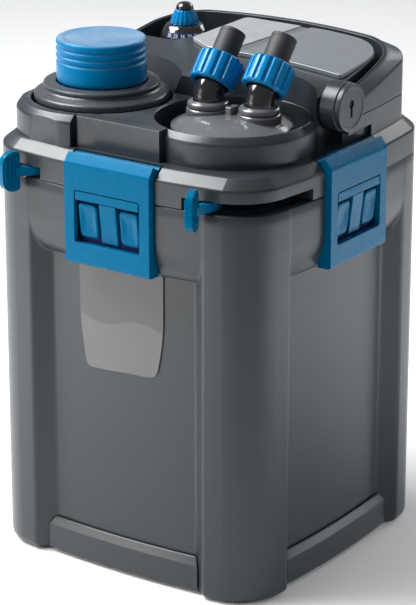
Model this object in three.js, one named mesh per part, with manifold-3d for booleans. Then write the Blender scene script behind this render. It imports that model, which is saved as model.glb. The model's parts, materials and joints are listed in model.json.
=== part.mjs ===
// Canister filter: a square bucket with rounded corner columns, a filter head held on by four latches,
// a prefilter module with a priming cap, a hose adapter with swivel elbows, a heater and a pump.
// Millimetres, +Z up. The origin is at the middle of the flat underside; the label faces -Y.
import * as THREE from 'three';
import { mergeVertices } from 'three/addons/utils/BufferGeometryUtils.js';
import Module from 'manifold-3d';

const wasm = await Module();
wasm.setup();

// ---------------------------------------------------------------- driving dimensions
const DEG = Math.PI / 180;
const GAP = 0.3; // between pieces that touch

// footprint
const HALF_WIDTH = 115;
const HALF_DEPTH = 114;
const CORNER_RADIUS = 34;
const FACE_BULGE = 6.3;

// canister
const CANISTER_TOP = 283.4;
const PANEL_HALF = 61; // half width of a recessed side panel
const FLANK_HALF = 73; // where the panel recess meets the column face
const PANEL_DEPTH = 9; // from the nominal side line back to the panel
const PANEL_BULGE = 3;
const COLLAR_BEND = 259; // the collar starts to roll inwards here
const COLLAR_FOOT = 229.5;
const COLLAR_ROLL = 12.6;
const INNER_HALF = 101.5;
const INNER_RADIUS = 30;
const FLOOR_THICKNESS = 6;
const LOBE_RADIUS = 29.5;
const MOUTH_INSET = 11.5;
const MOUTH_FOOT = 252;
const FOOT = { x: 84, y: 83, radius: 13, height: 3.5 };

// head
const HEAD_BOTTOM = CANISTER_TOP + GAP;
const BAND_TOP = 301;
const LEDGE_Z = 308;
const LEDGE_INSET = 9;
const DECK_Z = 330;
const RING_EDGE_Z = 325;
const FRONT_WALL = 103; // distance of the flat front wall from the origin
const WALL_INSET = 22.5; // rear block, measured in from the footprint
const SHELF_INSET = 9.5; // shelf under the folded handle
const SHELF_Z = 325.4;
const DECK_SLOPE = 7.6 * DEG;
const DECK_FRONT_Y = 20;
const DECK_FRONT_Z = 348.6;
const HEATER_SHELF_Z = 343;
const BASE_PLATE = [276, 279.5];
const WALL_SIDE = 99.6; // outer face of the wall that carries the handle
const SLOT_TOP = 292.4;

// wells
const PREFILTER = { x: -59, y: -49, ring: 60.5, well: 50, floor: 312, hole: 42.5 };
const ADAPTER = { x: 47.5, y: -42, ring: 58.6, well: 53.5, floor: 309, hole: 42.5 };
const WELL_FLARE_TOP = 61; // radius of both wells where they cut the rear block, at its top edge
const WELL_FLARE_Z = 356;

// latches
const LATCH_HALF = 36;
const CHANNEL_HALF = 37.5;
const CHANNEL_DEPTH = 1.5;
const HINGE = { y: 4, z: 304.5 }; // in a side's own frame, y measured in from the nominal side line
const CLAW_AXIS = { y: -7.7, z: 281 };
const LEFT_LATCH_SHIFT = 8; // the left latch stands clear of the prefilter well
const FACE = -10; // front face of a latch
const WINDOW = { half: 27.5, low: 247, high: 284.5 };

// handle
const PIVOT = { y: 3, z: 336 };
const HUB_RADIUS = 17.5;
const HANDLE_OUTER_INSET = 9.5;
const HANDLE_INNER_INSET = 17.5;
const HANDLE_BOTTOM = 326;
const HANDLE_TOP = { y: 20, z: 344, slope: 12.2 * DEG };

// hose adapter
const ELBOWS = { inlet: [28.5, -44], outlet: [66.5, -37.2] };
const BEND_Z = 344;
const NOZZLE_ELEVATION = 50 * DEG;

// heater and pump
const HEATER = { x: -72, y: 70 };
const PUMP = { x: 38, y: 58 };

const BLUE = { color: 0x007aa8, roughness: 0.4, metalness: 0 };
const BODY = { color: 0x464c50, roughness: 0.5, metalness: 0 };
const PANEL = { color: 0x5f5c5a, roughness: 0.5, metalness: 0 };
const BRUSHED = { color: 0xb9bcbe, roughness: 0.4, metalness: 0.6 };
const GLOSS = { color: 0x0c0c0e, roughness: 0.1, metalness: 0 };
const DARK = { color: 0x24262a, roughness: 0.6, metalness: 0 };
const RUBBER = { color: 0x1b1b1c, roughness: 0.85, metalness: 0 };
const FOAM_COARSE = { color: 0x2d5f8e, roughness: 1, metalness: 0 };
const FOAM_FINE = { color: 0xd9742c, roughness: 1, metalness: 0 };
const STEEL = { color: 0xb8babd, roughness: 0.3, metalness: 1 };
const COPPER = { color: 0xb06a3a, roughness: 0.4, metalness: 0.9 };
const CERAMIC = { color: 0xe8e6e0, roughness: 0.3, metalness: 0 };
const QUARTZ = { color: 0x2c2f33, roughness: 0.15, metalness: 0 };

// ---------------------------------------------------------------- solids

/** A closed three.js geometry as a solid for booleans. */
function solid(geometry) {
  geometry.deleteAttribute('normal');
  geometry.deleteAttribute('uv');
  const merged = mergeVertices(geometry, 1e-4);
  const index = merged.index.array;
  const triangles = [];
  for (let i = 0; i < index.length; i += 3) {
    const [a, b, c] = [index[i], index[i + 1], index[i + 2]];
    if (a !== b && b !== c && c !== a) triangles.push(a, b, c);
  }
  const vertProperties = new Float32Array(merged.attributes.position.array);
  const make = (list) => new wasm.Manifold(
    new wasm.Mesh({ numProp: 3, vertProperties, triVerts: new Uint32Array(list) }));
  const made = make(triangles);
  return made.volume() > 0 ? made : make(triangles.reverse());
}

/** A solid back as a three.js geometry. */
function geometryOf(shape) {
  const mesh = shape.getMesh();
  const geometry = new THREE.BufferGeometry();
  geometry.setAttribute('position', new THREE.BufferAttribute(new Float32Array(mesh.vertProperties), 3));
  geometry.setIndex(new THREE.BufferAttribute(new Uint32Array(mesh.triVerts), 1));
  geometry.computeVertexNormals();
  return geometry;
}

const joined = (...shapes) => shapes.reduce((a, b) => a.add(b));
const cut = (shape, ...tools) => tools.reduce((a, b) => a.subtract(b), shape);

/** An upright prism over a plan outline. */
function prismGeometry(points, low, high) {
  const shape = new THREE.Shape(points.map(([x, y]) => new THREE.Vector2(x, y)));
  const geometry = new THREE.ExtrudeGeometry(shape, { depth: high - low, bevelEnabled: false, curveSegments: 8 });
  return geometry.translate(0, 0, low);
}

const prism = (points, low, high) => solid(prismGeometry(points, low, high));

/** A side profile of [y, z] points swept along x from -half to +half. */
function sweptGeometry(profile, half) {
  const geometry = prismGeometry(profile, -half, half);
  // the drawing plane (x, y) becomes (y, z) and the depth becomes x
  return geometry.applyMatrix4(new THREE.Matrix4().set(0, 0, 1, 0, 1, 0, 0, 0, 0, 1, 0, 0, 0, 0, 0, 1));
}

const swept = (profile, half) => solid(sweptGeometry(profile, half));

function boxGeometry([x0, x1], [y0, y1], [z0, z1]) {
  const geometry = new THREE.BoxGeometry(x1 - x0, y1 - y0, z1 - z0);
  return geometry.translate((x0 + x1) / 2, (y0 + y1) / 2, (z0 + z1) / 2);
}

const box = (xs, ys, zs) => solid(boxGeometry(xs, ys, zs));

/** A turned piece about an upright axis at x, y; the profile is [radius, z] points. */
function turned(profile, sides = 28, x = 0, y = 0) {
  const points = profile.map(([r, z]) => new THREE.Vector2(r, z));
  return solid(new THREE.LatheGeometry(points, sides).rotateX(Math.PI / 2).translate(x, y, 0));
}

const disc = (radius, low, high, x = 0, y = 0, sides = 32) => turned(
  [[0, low], [radius, low], [radius, high], [0, high]], sides, x, y);

/** A turned ring with a rectangular section. */
const ring = (inner, outer, low, high, x = 0, y = 0, sides = 28) => turned(
  [[inner, low], [outer, low], [outer, high], [inner, high], [inner, low]], sides, x, y);

/** A cylinder along the X axis. */
const barAlongX = (radius, x0, x1, y, z, sides = 16) => solid(
  new THREE.CylinderGeometry(radius, radius, x1 - x0, sides).rotateZ(Math.PI / 2)
    .translate((x0 + x1) / 2, y, z));

/** A closed body through rings of plan points at given heights. */
function loft(sections) {
  const count = sections[0].points.length;
  const positions = sections.flatMap(({ points, z }) => points.flatMap(([x, y]) => [x, y, z]));
  const index = [];
  for (let s = 0; s < sections.length - 1; s++) {
    for (let i = 0; i < count; i++) {
      const a = s * count + i;
      const b = s * count + (i + 1) % count;
      index.push(a, b, b + count, a, b + count, a + count);
    }
  }
  const cap = THREE.ShapeUtils.triangulateShape(
    sections[0].points.map(([x, y]) => new THREE.Vector2(x, y)), []);
  const top = (sections.length - 1) * count;
  for (const [a, b, c] of cap) {
    index.push(c, b, a, top + a, top + b, top + c);
  }
  const geometry = new THREE.BufferGeometry();
  geometry.setAttribute('position', new THREE.Float32BufferAttribute(positions, 3));
  geometry.setIndex(index);
  return solid(geometry);
}

// ---------------------------------------------------------------- outlines

/** A rounded rectangle whose sides bulge outwards, anticlockwise. */
function roundedOutline(halfX, halfY, radius, bulge, sideSteps = 4, cornerSteps = 4) {
  const a = halfX - radius;
  const b = halfY - radius;
  const points = [];
  const sides = [[a, b, halfX, 0], [b, a, halfY, 1], [a, b, halfX, 2], [b, a, halfY, 3]];
  for (const [across, along, reach, quarter] of sides) {
    const turn = ([x, y]) => [[x, y], [-y, x], [-x, -y], [y, -x]][quarter];
    for (let i = 1; i < sideSteps; i++) {
      const t = -1 + 2 * i / sideSteps;
      points.push(turn([reach + bulge * (1 - t * t), t * along]));
    }
    for (let i = 0; i <= cornerSteps; i++) {
      const angle = i / cornerSteps * Math.PI / 2;
      points.push(turn([across + radius * Math.cos(angle), along + radius * Math.sin(angle)]));
    }
  }
  return points;
}

/** The footprint, moved in by an inset. */
const footprint = (inset = 0, corner = CORNER_RADIUS - inset) => roundedOutline(
  HALF_WIDTH - inset, HALF_DEPTH - inset, corner, FACE_BULGE);

const SIDES = [
  { name: 'front', turn: 0, x: 0, y: -HALF_DEPTH },
  { name: 'right', turn: Math.PI / 2, x: HALF_WIDTH, y: 0 },
  { name: 'rear', turn: Math.PI, x: 0, y: HALF_DEPTH },
  { name: 'left', turn: -Math.PI / 2, x: -HALF_WIDTH, y: 0 },
];

/** A geometry drawn in a side's own frame, moved to that side as a solid. */
const onSide = (geometry, side, slide = 0) => solid(
  geometry.clone().translate(slide, 0, 0).rotateZ(side.turn).translate(side.x, side.y, 0));

const latchSlide = (side) => (side.name === 'left' ? -LEFT_LATCH_SHIFT : 0);

// ---------------------------------------------------------------- canister

/** The plan of one panel recess, in a side's own frame. */
function recessPlan() {
  const panel = [];
  const steps = 4;
  for (let i = 0; i <= steps; i++) {
    const t = -1 + 2 * i / steps;
    panel.push([t * PANEL_HALF, PANEL_DEPTH - PANEL_BULGE * (1 - t * t)]);
  }
  return [...panel, [FLANK_HALF, -1.2], [FLANK_HALF, -20], [-FLANK_HALF, -20], [-FLANK_HALF, -1.2]];
}

function canisterShell() {
  let shell = loft([
    { points: footprint(5), z: 0 },
    { points: footprint(1.8), z: 1.6 },
    { points: footprint(), z: 6.5 },
    { points: footprint(), z: 262 },
  ]);
  for (const side of SIDES) shell = cut(shell, onSide(prismGeometry(recessPlan(), -1, 270), side));
  const roll = [80, 60, 40, 20, 0].map((angle) => ({
    points: footprint(COLLAR_ROLL * (1 - Math.cos(angle * DEG))),
    z: COLLAR_BEND - (COLLAR_BEND - COLLAR_FOOT) * Math.sin(angle * DEG),
  }));
  shell = joined(shell, loft([...roll, { points: footprint(), z: CANISTER_TOP }]));

  const inner = roundedOutline(INNER_HALF, INNER_HALF - 1, INNER_RADIUS, PANEL_BULGE);
  shell = cut(shell, prism(inner, FLOOR_THICKNESS, 262), prism(footprint(MOUTH_INSET), MOUTH_FOOT, 300));
  const [lobeX, lobeY] = [HALF_WIDTH - CORNER_RADIUS, HALF_DEPTH - CORNER_RADIUS];
  for (const [sx, sy] of [[1, 1], [1, -1], [-1, 1], [-1, -1]]) {
    shell = cut(shell, disc(LOBE_RADIUS, 12, MOUTH_FOOT + 1, sx * lobeX, sy * lobeY, 16));
    shell = cut(shell, disc(FOOT.radius + GAP, -1, FOOT.height + GAP, sx * FOOT.x, sy * FOOT.y, 14));
  }
  for (const side of SIDES) {
    const slide = latchSlide(side);
    shell = cut(shell, onSide(
      boxGeometry([-CHANNEL_HALF, CHANNEL_HALF], [-30, CHANNEL_DEPTH], [225, 290]), side, slide));
    shell = joined(shell, onSide(boxGeometry([-22, 22], [-2, CHANNEL_DEPTH + 1], [247.2, 251]), side, slide));
  }
  return shell;
}

const foot = () => disc(FOOT.radius, 0, FOOT.height, 0, 0, 14);

/** A skirt that closes the foot of one panel recess, in a side's own frame. */
function baseSkirt() {
  const arc = (half, reach, bulge, steps = 4) => Array.from({ length: steps + 1 }, (_, i) => {
    const t = -1 + 2 * i / steps;
    return [t * half, reach - bulge * (1 - t * t)];
  });
  const inner = arc(PANEL_HALF - 0.6, PANEL_DEPTH - 0.5, PANEL_BULGE);
  const outline = (half, reach) => [...arc(half, reach, PANEL_BULGE), ...inner.slice().reverse()];
  return loft([
    { points: outline(66, 3.5), z: 3 },
    { points: outline(66, 3.5), z: 22 },
    { points: outline(62.4, 7.0), z: 27 },
  ]);
}

/** A thin plate that follows the convex front panel, with a notched and waved foot. */
function labelPlate() {
  const face = (lift) => {
    const points = [];
    for (let i = 0; i <= 8; i++) {
      const x = -50 + 100 * i / 8;
      points.push([x, PANEL_DEPTH - PANEL_BULGE * (1 - (x / PANEL_HALF) ** 2) - lift]);
    }
    return points;
  };
  const sheet = prism([...face(1.2), ...face(GAP).reverse()], 140, 230);
  const outline = new THREE.Shape();
  outline.moveTo(-35.5, 223);
  outline.lineTo(-35.5, 163);
  outline.bezierCurveTo(-35, 156, -27, 151, -19, 151);
  outline.bezierCurveTo(0, 151, 15, 156, 30, 155);
  outline.bezierCurveTo(33, 155, 35.5, 157, 35.5, 160);
  outline.lineTo(35.5, 223);
  const depth = new THREE.ExtrudeGeometry(outline, { depth: 30, bevelEnabled: false, curveSegments: 5 });
  depth.applyMatrix4(new THREE.Matrix4().set(1, 0, 0, 0, 0, 0, 1, -5, 0, 1, 0, 0, 0, 0, 0, 1));
  return sheet.intersect(solid(depth));
}

// ---------------------------------------------------------------- baskets

const BASKETS = { low: 9, height: 62, pitch: 64, wall: 2, names: ['lower', 'middle', 'upper'] };

/** Room for the prefilter column and for the heater, cut from the basket plan. */
const basketNotches = (grow, low, high) => joined(
  disc(43 - grow, low, high, PREFILTER.x, PREFILTER.y, 20),
  prism([[-130, -130], [PREFILTER.x, -130], [PREFILTER.x + 43 - grow, -130],
    [PREFILTER.x + 43 - grow, PREFILTER.y], [PREFILTER.x, PREFILTER.y + 43 - grow],
    [-130, PREFILTER.y + 43 - grow]], low, high),
  disc(20 - grow, low, high, HEATER.x, HEATER.y, 12),
  prism([[-130, HEATER.y - 20 + grow], [HEATER.x, HEATER.y - 20 + grow],
    [HEATER.x + 20 - grow, HEATER.y], [HEATER.x + 20 - grow, 130], [-130, 130]], low, high));

const basketPlan = (inset, low, high) => cut(
  prism(roundedOutline(98 - inset, 97 - inset, 26 - inset, 0, 2, 3), low, high),
  basketNotches(-inset, low - 1, high + 1));

function basket(index) {
  const low = BASKETS.low + index * BASKETS.pitch;
  const tray = cut(
    basketPlan(0, low, low + BASKETS.height),
    basketPlan(BASKETS.wall, low + BASKETS.wall, low + BASKETS.height + 5));
  const slots = [-25, 5, 35, 65].map((y) => box([-8, 78], [y, y + 8], [low - 1, low + 4]));
  return cut(tray, ...slots);
}

const foamBlock = (index) => basketPlan(
  BASKETS.wall + 1, BASKETS.low + index * BASKETS.pitch + 3, BASKETS.low + index * BASKETS.pitch + 56);

// ---------------------------------------------------------------- head

/** A sloping slab that removes everything above the rear deck's plane. */
function aboveSlope(y, z, slope) {
  const geometry = boxGeometry([-200, 200], [-300, 300], [0, 120]);
  return solid(geometry.rotateX(slope).translate(0, y, z));
}

/** Everything below the sloping plane and above another, as a slab of a given thickness. */
function slopingSlab(lift, thickness) {
  const geometry = boxGeometry([-200, 200], [-200, 200], [lift, lift + thickness]);
  return solid(geometry.rotateX(DECK_SLOPE).translate(0, DECK_FRONT_Y, DECK_FRONT_Z));
}

/** The outside of one well ring, with a chamfered top edge. */
const wellRing = (well) => turned([
  [0, LEDGE_Z - 4], [well.ring, LEDGE_Z - 4], [well.ring, RING_EDGE_Z],
  [well.ring - 4.5, DECK_Z], [0, DECK_Z],
], 32, well.x, well.y);

/** The space of one well, flaring where it cuts into the rear block. */
const wellSpace = (well) => joined(
  turned([
    [0, well.floor], [well.well, well.floor], [well.well, DECK_Z],
    [WELL_FLARE_TOP, WELL_FLARE_Z], [WELL_FLARE_TOP, 380], [0, 380],
  ], 32, well.x, well.y),
  disc(well.hole, 290, well.floor + 1, well.x, well.y, 24));

function headCover() {
  let cover = loft([
    { points: footprint(), z: HEAD_BOTTOM },
    { points: footprint(), z: BAND_TOP },
    { points: footprint(LEDGE_INSET), z: LEDGE_Z },
  ]);
  const inside = prism(footprint(LEDGE_INSET), 290, 340);
  const flatWall = box([-43, 38], [-FRONT_WALL, 20], [LEDGE_Z - 4, DECK_Z]);
  cover = joined(cover, joined(wellRing(PREFILTER), wellRing(ADAPTER)).intersect(inside), flatWall);
  const rear = box([-200, 200], [5, 200], [290, 400]);
  cover = joined(cover, prism(footprint(SHELF_INSET), LEDGE_Z - 4, SHELF_Z).intersect(rear));
  const block = prism(footprint(WALL_INSET), LEDGE_Z - 4, 380)
    .intersect(box([-200, 200], [-16, 200], [290, 400]));
  cover = joined(cover, cut(block, aboveSlope(DECK_FRONT_Y, DECK_FRONT_Z, DECK_SLOPE)));

  // hollow underside
  cover = cut(cover, prism(footprint(MOUTH_INSET), 280, 296.5), prism(footprint(17.5), 296, 305));
  const pocket = cut(
    box([-42, 36], [-99.5, 22], [300, 326.5]),
    disc(PREFILTER.well + 4, 290, 340, PREFILTER.x, PREFILTER.y, 24),
    disc(ADAPTER.well + 4, 290, 340, ADAPTER.x, ADAPTER.y, 24));
  const rearRoom = cut(
    prism(footprint(26), 300, 380).intersect(box([-200, 200], [26, 200], [290, 400])),
    aboveSlope(DECK_FRONT_Y, DECK_FRONT_Z - 3.5, DECK_SLOPE),
    box([-130, -38], [0, 130], [HEATER_SHELF_Z - 3.5, 400]));
  cover = cut(cover, pocket, rearRoom, wellSpace(PREFILTER), wellSpace(ADAPTER));

  // heater corner
  const corner = prism([[-130, 40], [-58, 40], [-34, 97], [-34, 130], [-130, 130]], HEATER_SHELF_Z, 400);
  cover = cut(cover, corner, disc(16, 300, 350, HEATER.x, HEATER.y, 16));

  // handle bosses sit in round recesses in the shelf
  cover = cut(cover, barAlongX(HUB_RADIUS + 0.8, WALL_SIDE, 130, PIVOT.y, PIVOT.z, 22));
  cover = cut(cover, barAlongX(HUB_RADIUS + 0.8, -130, -WALL_SIDE, PIVOT.y, PIVOT.z, 22));

  // latch pockets and the two lever slots
  for (const side of SIDES) {
    const slide = latchSlide(side);
    const across = [-CHANNEL_HALF, CHANNEL_HALF];
    cover = cut(
      cover,
      onSide(boxGeometry(across, [-30, CHANNEL_DEPTH], [280, 310]), side, slide),
      onSide(boxGeometry(across, [-30, HINGE.y + 3.7], [HINGE.z - 4, 316]), side, slide));
  }
  return cut(
    cover,
    box([58, 140], [-140, -50], [280, SLOT_TOP]),
    box([-140, -62], [-140, -72], [280, SLOT_TOP]));
}

/** The sealing base of the head: a plate with a downward skirt and the sockets it carries. */
function headBase() {
  let base = cut(
    prism(footprint(12.1), 262, 283), prism(footprint(17), 255, BASE_PLATE[0]),
    prism(footprint(17), BASE_PLATE[1], 290));
  base = cut(base, cut(prism(footprint(8), 268, 273.4), prism(footprint(14.4), 260, 280)));
  base = cut(
    base,
    disc(41.5, 270, 290, PREFILTER.x, PREFILTER.y, 24),
    disc(16, 270, 290, HEATER.x, HEATER.y, 16),
    disc(25, 270, 290, PUMP.x, PUMP.y, 20));
  for (const [x, y] of Object.values(ELBOWS)) {
    base = joined(base, disc(14, 268, 281.5, x, y, 12));
    base = cut(base, disc(10.8, 260, 290, x, y, 12));
  }
  return base;
}

const headSeal = () => cut(prism(footprint(11.75), 268.4, 273), prism(footprint(14.1), 260, 280));

/** The bright cover plate over the pump, lying on the sloping deck. */
function pumpCover() {
  const plan = [[-55, 42], [-30, 31], [46, 30], [86, 23], [95, 21], [96, 40], [95.5, 62], [92, 74],
    [84, 84], [70, 90], [40, 94], [-33, 94]];
  const plate = prism(plan, 330, 380).intersect(slopingSlab(GAP, 3.6));
  const step = prism([[-9, 28], [-3, 28], [27, 96], [21, 96]], 330, 380).intersect(slopingSlab(2.6, 8));
  return cut(plate, step);
}

// ---------------------------------------------------------------- handle

function handle() {
  const hubs = joined(
    barAlongX(HUB_RADIUS, WALL_SIDE + 0.7, 112, PIVOT.y, PIVOT.z, 22),
    barAlongX(HUB_RADIUS, -112, -WALL_SIDE - 0.7, PIVOT.y, PIVOT.z, 22));
  const band = cut(
    prism(footprint(HANDLE_OUTER_INSET), HANDLE_BOTTOM, 380)
      .intersect(box([-200, 200], [PIVOT.y, 200], [300, 400])),
    prism(footprint(HANDLE_INNER_INSET), 300, 400),
    aboveSlope(HANDLE_TOP.y, HANDLE_TOP.z, HANDLE_TOP.slope));
  const bores = joined(
    barAlongX(6.6, 90, 130, PIVOT.y, PIVOT.z, 12), barAlongX(6.6, -130, -90, PIVOT.y, PIVOT.z, 12));
  return cut(joined(band, hubs), bores);
}

/** A pivot: a shaft through the handle's hub and a disc with a key hole in its face. */
function pivotCap() {
  const cap = joined(
    barAlongX(17, 112.4, 116, PIVOT.y, PIVOT.z, 22), barAlongX(6, WALL_SIDE + 0.2, 113, PIVOT.y, PIVOT.z, 12),
    box([112.4, 115.6], [PIVOT.y - 3.5, PIVOT.y + 3.5], [317.3, 322]));
  return cut(
    cap, barAlongX(3, 114.2, 120, PIVOT.y, PIVOT.z + 2.5, 10),
    box([114.2, 120], [PIVOT.y - 1.3, PIVOT.y + 1.3], [329, 338]));
}

// ---------------------------------------------------------------- latches, in a side's own frame

function latchFrame() {
  const { y, z } = HINGE;
  const barrel = [];
  for (let i = 0; i <= 5; i++) {
    const angle = (-60 + 210 * i / 5) * DEG;
    barrel.push([y + 3.2 * Math.cos(angle), z + 3.2 * Math.sin(angle)]);
  }
  const profile = [
    ...barrel, [-4.5, 309.6], [FACE, 302.5], [FACE, 233], [FACE + 1, 231.2], [0.8, 231.2], [0.8, 299.5], [2, 301.6],
  ];
  const frame = swept(profile, LATCH_HALF);
  const stubs = barAlongX(1.7, -29.8, 29.8, CLAW_AXIS.y, CLAW_AXIS.z, 8);
  return cut(
    frame,
    box([-32.5, 32.5], [-5.4, 10], [225, 296.5]),
    box([-WINDOW.half, WINDOW.half], [-20, 10], [WINDOW.low, WINDOW.high]),
    stubs,
    barAlongX(2, -50, 50, y, z, 8));
}

/** The claw that hooks under the strike on the canister. */
function latchClaw() {
  const half = WINDOW.half - 0.7;
  const plate = swept([[-5, 244], [0.5, 244], [0.5, 246.5], [-2.6, 246.5], [-2.6, 283.6], [-5, 283.6]], 21);
  const bar = box([-half, half], [FACE + 0.4, -3], [277.5, 283.7]);
  const stem = box([-7, 7], [FACE + 0.4, -3], [249, 278]);
  const wings = [-1, 1].map((sign) => {
    const xs = [sign * 9.5, sign * 25].sort((a, b) => a - b);
    return cut(
      box(xs, [-8, -3], [252.5, 276]),
      box([xs[0] - 1, xs[1] + 1], [-9, -6.6], [252, 255.5]));
  });
  const web = box([-25, 25], [-5, -2.6], [250, 280]);
  const pivots = barAlongX(1.3, -29.4, 29.4, CLAW_AXIS.y, CLAW_AXIS.z, 8);
  return joined(plate, bar, stem, web, ...wings, pivots);
}

const latchPin = () => barAlongX(1.6, -CHANNEL_HALF + GAP, CHANNEL_HALF - GAP, HINGE.y, HINGE.z, 8);

// ---------------------------------------------------------------- locking levers

/** A ring below a well, an arm through the slot in the head band and a ribbed paddle. */
function lockingLever(well, angle, kink, reach) {
  const [low, high] = [285.2, 291.2];
  const at = (radius, degrees) => [
    well.x + radius * Math.cos(degrees * DEG), well.y + radius * Math.sin(degrees * DEG)];
  const arm = (from, to, half) => {
    const [dx, dy] = [to[0] - from[0], to[1] - from[1]];
    const length = Math.hypot(dx, dy);
    const [nx, ny] = [-dy / length * half, dx / length * half];
    return prism([[from[0] + nx, from[1] + ny], [from[0] - nx, from[1] - ny],
      [to[0] - nx, to[1] - ny], [to[0] + nx, to[1] + ny]], low, high);
  };
  const inner = at(44.5, angle + kink);
  const knee = at(reach - 14, angle + kink);
  const tip = at(reach + 3, angle);
  const paddle = new THREE.Shape();
  paddle.moveTo(reach, 275.5);
  paddle.lineTo(reach + 6, 274);
  paddle.bezierCurveTo(reach + 18, 276, reach + 18, 302, reach + 6, 304);
  paddle.lineTo(reach, 302.5);
  const plate = new THREE.ExtrudeGeometry(paddle, { depth: 6, bevelEnabled: false, curveSegments: 6 });
  plate.translate(0, 0, -3);
  // the drawing plane becomes (radial, z) and the depth becomes tangential
  plate.applyMatrix4(new THREE.Matrix4().set(1, 0, 0, 0, 0, 0, -1, 0, 0, 1, 0, 0, 0, 0, 0, 1));
  const fin = solid(plate.rotateZ(angle * DEG).translate(well.x, well.y, 0));
  return joined(
    ring(42, 47.2, low, high, well.x, well.y, 24), arm(inner, knee, 3.4), arm(knee, tip, 3.2), fin);
}

// ---------------------------------------------------------------- hose adapter

function adapterBody() {
  const dome = turned([
    [0, 283], [40.3, 283], [40.3, 321], [42, 322.5], [42, 325.5], [36, 329.2], [22, 331.6], [0, 332],
  ], 24, ADAPTER.x, ADAPTER.y);
  let body = dome;
  for (const [x, y] of Object.values(ELBOWS)) {
    body = joined(body, disc(10.3, 264, 290, x, y, 12));
  }
  for (const [x, y] of Object.values(ELBOWS)) body = cut(body, disc(7.5, 260, 340, x, y, 10));
  return body;
}

/** Something drawn along +Z from the bend point, leaned back over the nozzle's elevation. */
const leaned = (geometry) => geometry.rotateX(-(Math.PI / 2 - NOZZLE_ELEVATION)).translate(0, 0, BEND_Z);

const leanedRing = (profile, sides) => {
  const points = profile.map(([r, z]) => new THREE.Vector2(r, z));
  return solid(leaned(new THREE.LatheGeometry(points, sides).rotateX(Math.PI / 2)));
};

/** A swivel elbow about the local Z axis. */
function elbow() {
  const outer = joined(
    turned([[0, 332.4], [14.5, 332.4], [14.5, 338], [11.5, 339.5], [11.5, BEND_Z], [0, BEND_Z]], 16),
    solid(new THREE.SphereGeometry(11.5, 16, 8).rotateX(Math.PI / 2).translate(0, 0, BEND_Z)),
    leanedRing([[0, 0], [11.5, 0], [11.5, 12], [6.2, 14], [6.2, 28], [0, 28]], 16));
  return cut(
    outer, disc(5, 330, BEND_Z + 2, 0, 0, 8), leanedRing([[0, -2], [4.6, -2], [4.6, 40], [0, 40]], 8));
}

/** A ribbed union nut over the hose end. */
function unionNut() {
  const ribs = 12;
  const plan = [];
  for (let i = 0; i < ribs * 2; i++) {
    const angle = i / (ribs * 2) * 2 * Math.PI;
    const radius = i % 2 ? 16.6 : 15.6;
    plan.push([radius * Math.cos(angle), radius * Math.sin(angle)]);
  }
  const outer = solid(leaned(prismGeometry(plan, 6, 29)));
  return cut(
    outer, leanedRing([[0, 0], [12.2, 0], [12.2, 15], [9.7, 16.5], [9.7, 40], [0, 40]], 12));
}

const hoseTail = () => leanedRing([[6.6, 14.6], [9.2, 14.6], [9.2, 48], [6.6, 48], [6.6, 14.6]], 14);

// ---------------------------------------------------------------- prefilter module

const prefilterFlange = () => turned([
  [37, 298], [41, 298], [41, 312.5], [46, 312.5], [46, 328.5], [48, 330], [48, 335], [45.5, 338],
  [33.6, 341], [33.6, 329], [28, 329], [28, 339], [25, 339], [25, 326], [37, 326], [37, 298],
], 24);

const CAGE = { low: 30, high: 297.6, outer: 38 };

function prefilterCage() {
  const tube = cut(disc(CAGE.outer, CAGE.low, CAGE.high, 0, 0, 20), disc(36, CAGE.low + 3, 300, 0, 0, 20));
  const slots = [0, 1, 2, 3].map((i) => solid(
    boxGeometry([-60, 60], [-6, 6], [50, 250]).rotateZ((22.5 + i * 45) * DEG)));
  return cut(tube, ...slots);
}

const prefilterFoam = () => ring(18, 35.4, 34, 290, 0, 0, 16);

const primingCap = () => turned([
  [0, 372.5], [30.8, 372.5], [32, 371], [32, 341.8], [29.3, 341.8], [29.3, 370], [0, 370],
], 24);

const primingPiston = () => turned([
  [0, 327], [24.6, 327], [24.6, 333], [5, 333], [5, 369.6], [0, 369.6]], 16);

/** The return spring between the flange's neck and the cap. */
function primingSpring() {
  const [turns, radius, wire, low, high] = [4, 26.5, 0.9, 340.4, 368.8];
  const perTurn = 9;
  const points = Array.from({ length: turns * perTurn + 1 }, (_, i) => {
    const angle = i / perTurn * 2 * Math.PI;
    return new THREE.Vector3(
      radius * Math.cos(angle), radius * Math.sin(angle), low + (high - low) * i / (turns * perTurn));
  });
  const section = new THREE.Shape();
  section.absarc(0, 0, wire, 0, 2 * Math.PI);
  return solid(new THREE.ExtrudeGeometry(section, {
    steps: turns * perTurn,
    bevelEnabled: false,
    curveSegments: 3,
    extrudePath: new THREE.CatmullRomCurve3(points),
  }));
}

// ---------------------------------------------------------------- heater, about its own axis

const heaterTube = () => turned([[0, 60], [12, 62], [14, 68], [14, 335], [0, 335]], 16);
const heaterHead = () => turned([
  [0, 335.4], [15, 335.4], [15, HEATER_SHELF_Z + GAP], [18, HEATER_SHELF_Z + GAP], [18, 346],
  [16.5, 352], [13.5, 356.5], [0, 356.5]], 18);

function heaterDial() {
  const ribs = 12;
  const plan = (scale) => Array.from({ length: ribs * 2 }, (_, i) => {
    const angle = i / (ribs * 2) * 2 * Math.PI;
    const radius = scale * (i % 2 ? 1 : 0.93);
    return [radius * Math.cos(angle), radius * Math.sin(angle)];
  });
  return loft([
    { points: plan(10.6), z: 356.9 }, { points: plan(9.8), z: 361.5 }, { points: plan(6.9), z: 367.2 }]);
}

const heaterTip = () => turned([[0, 367.6], [6.9, 367.6], [5.2, 370.6], [2.6, 372.6], [0, 373]], 12);

// ---------------------------------------------------------------- pump, about its own axis

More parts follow.
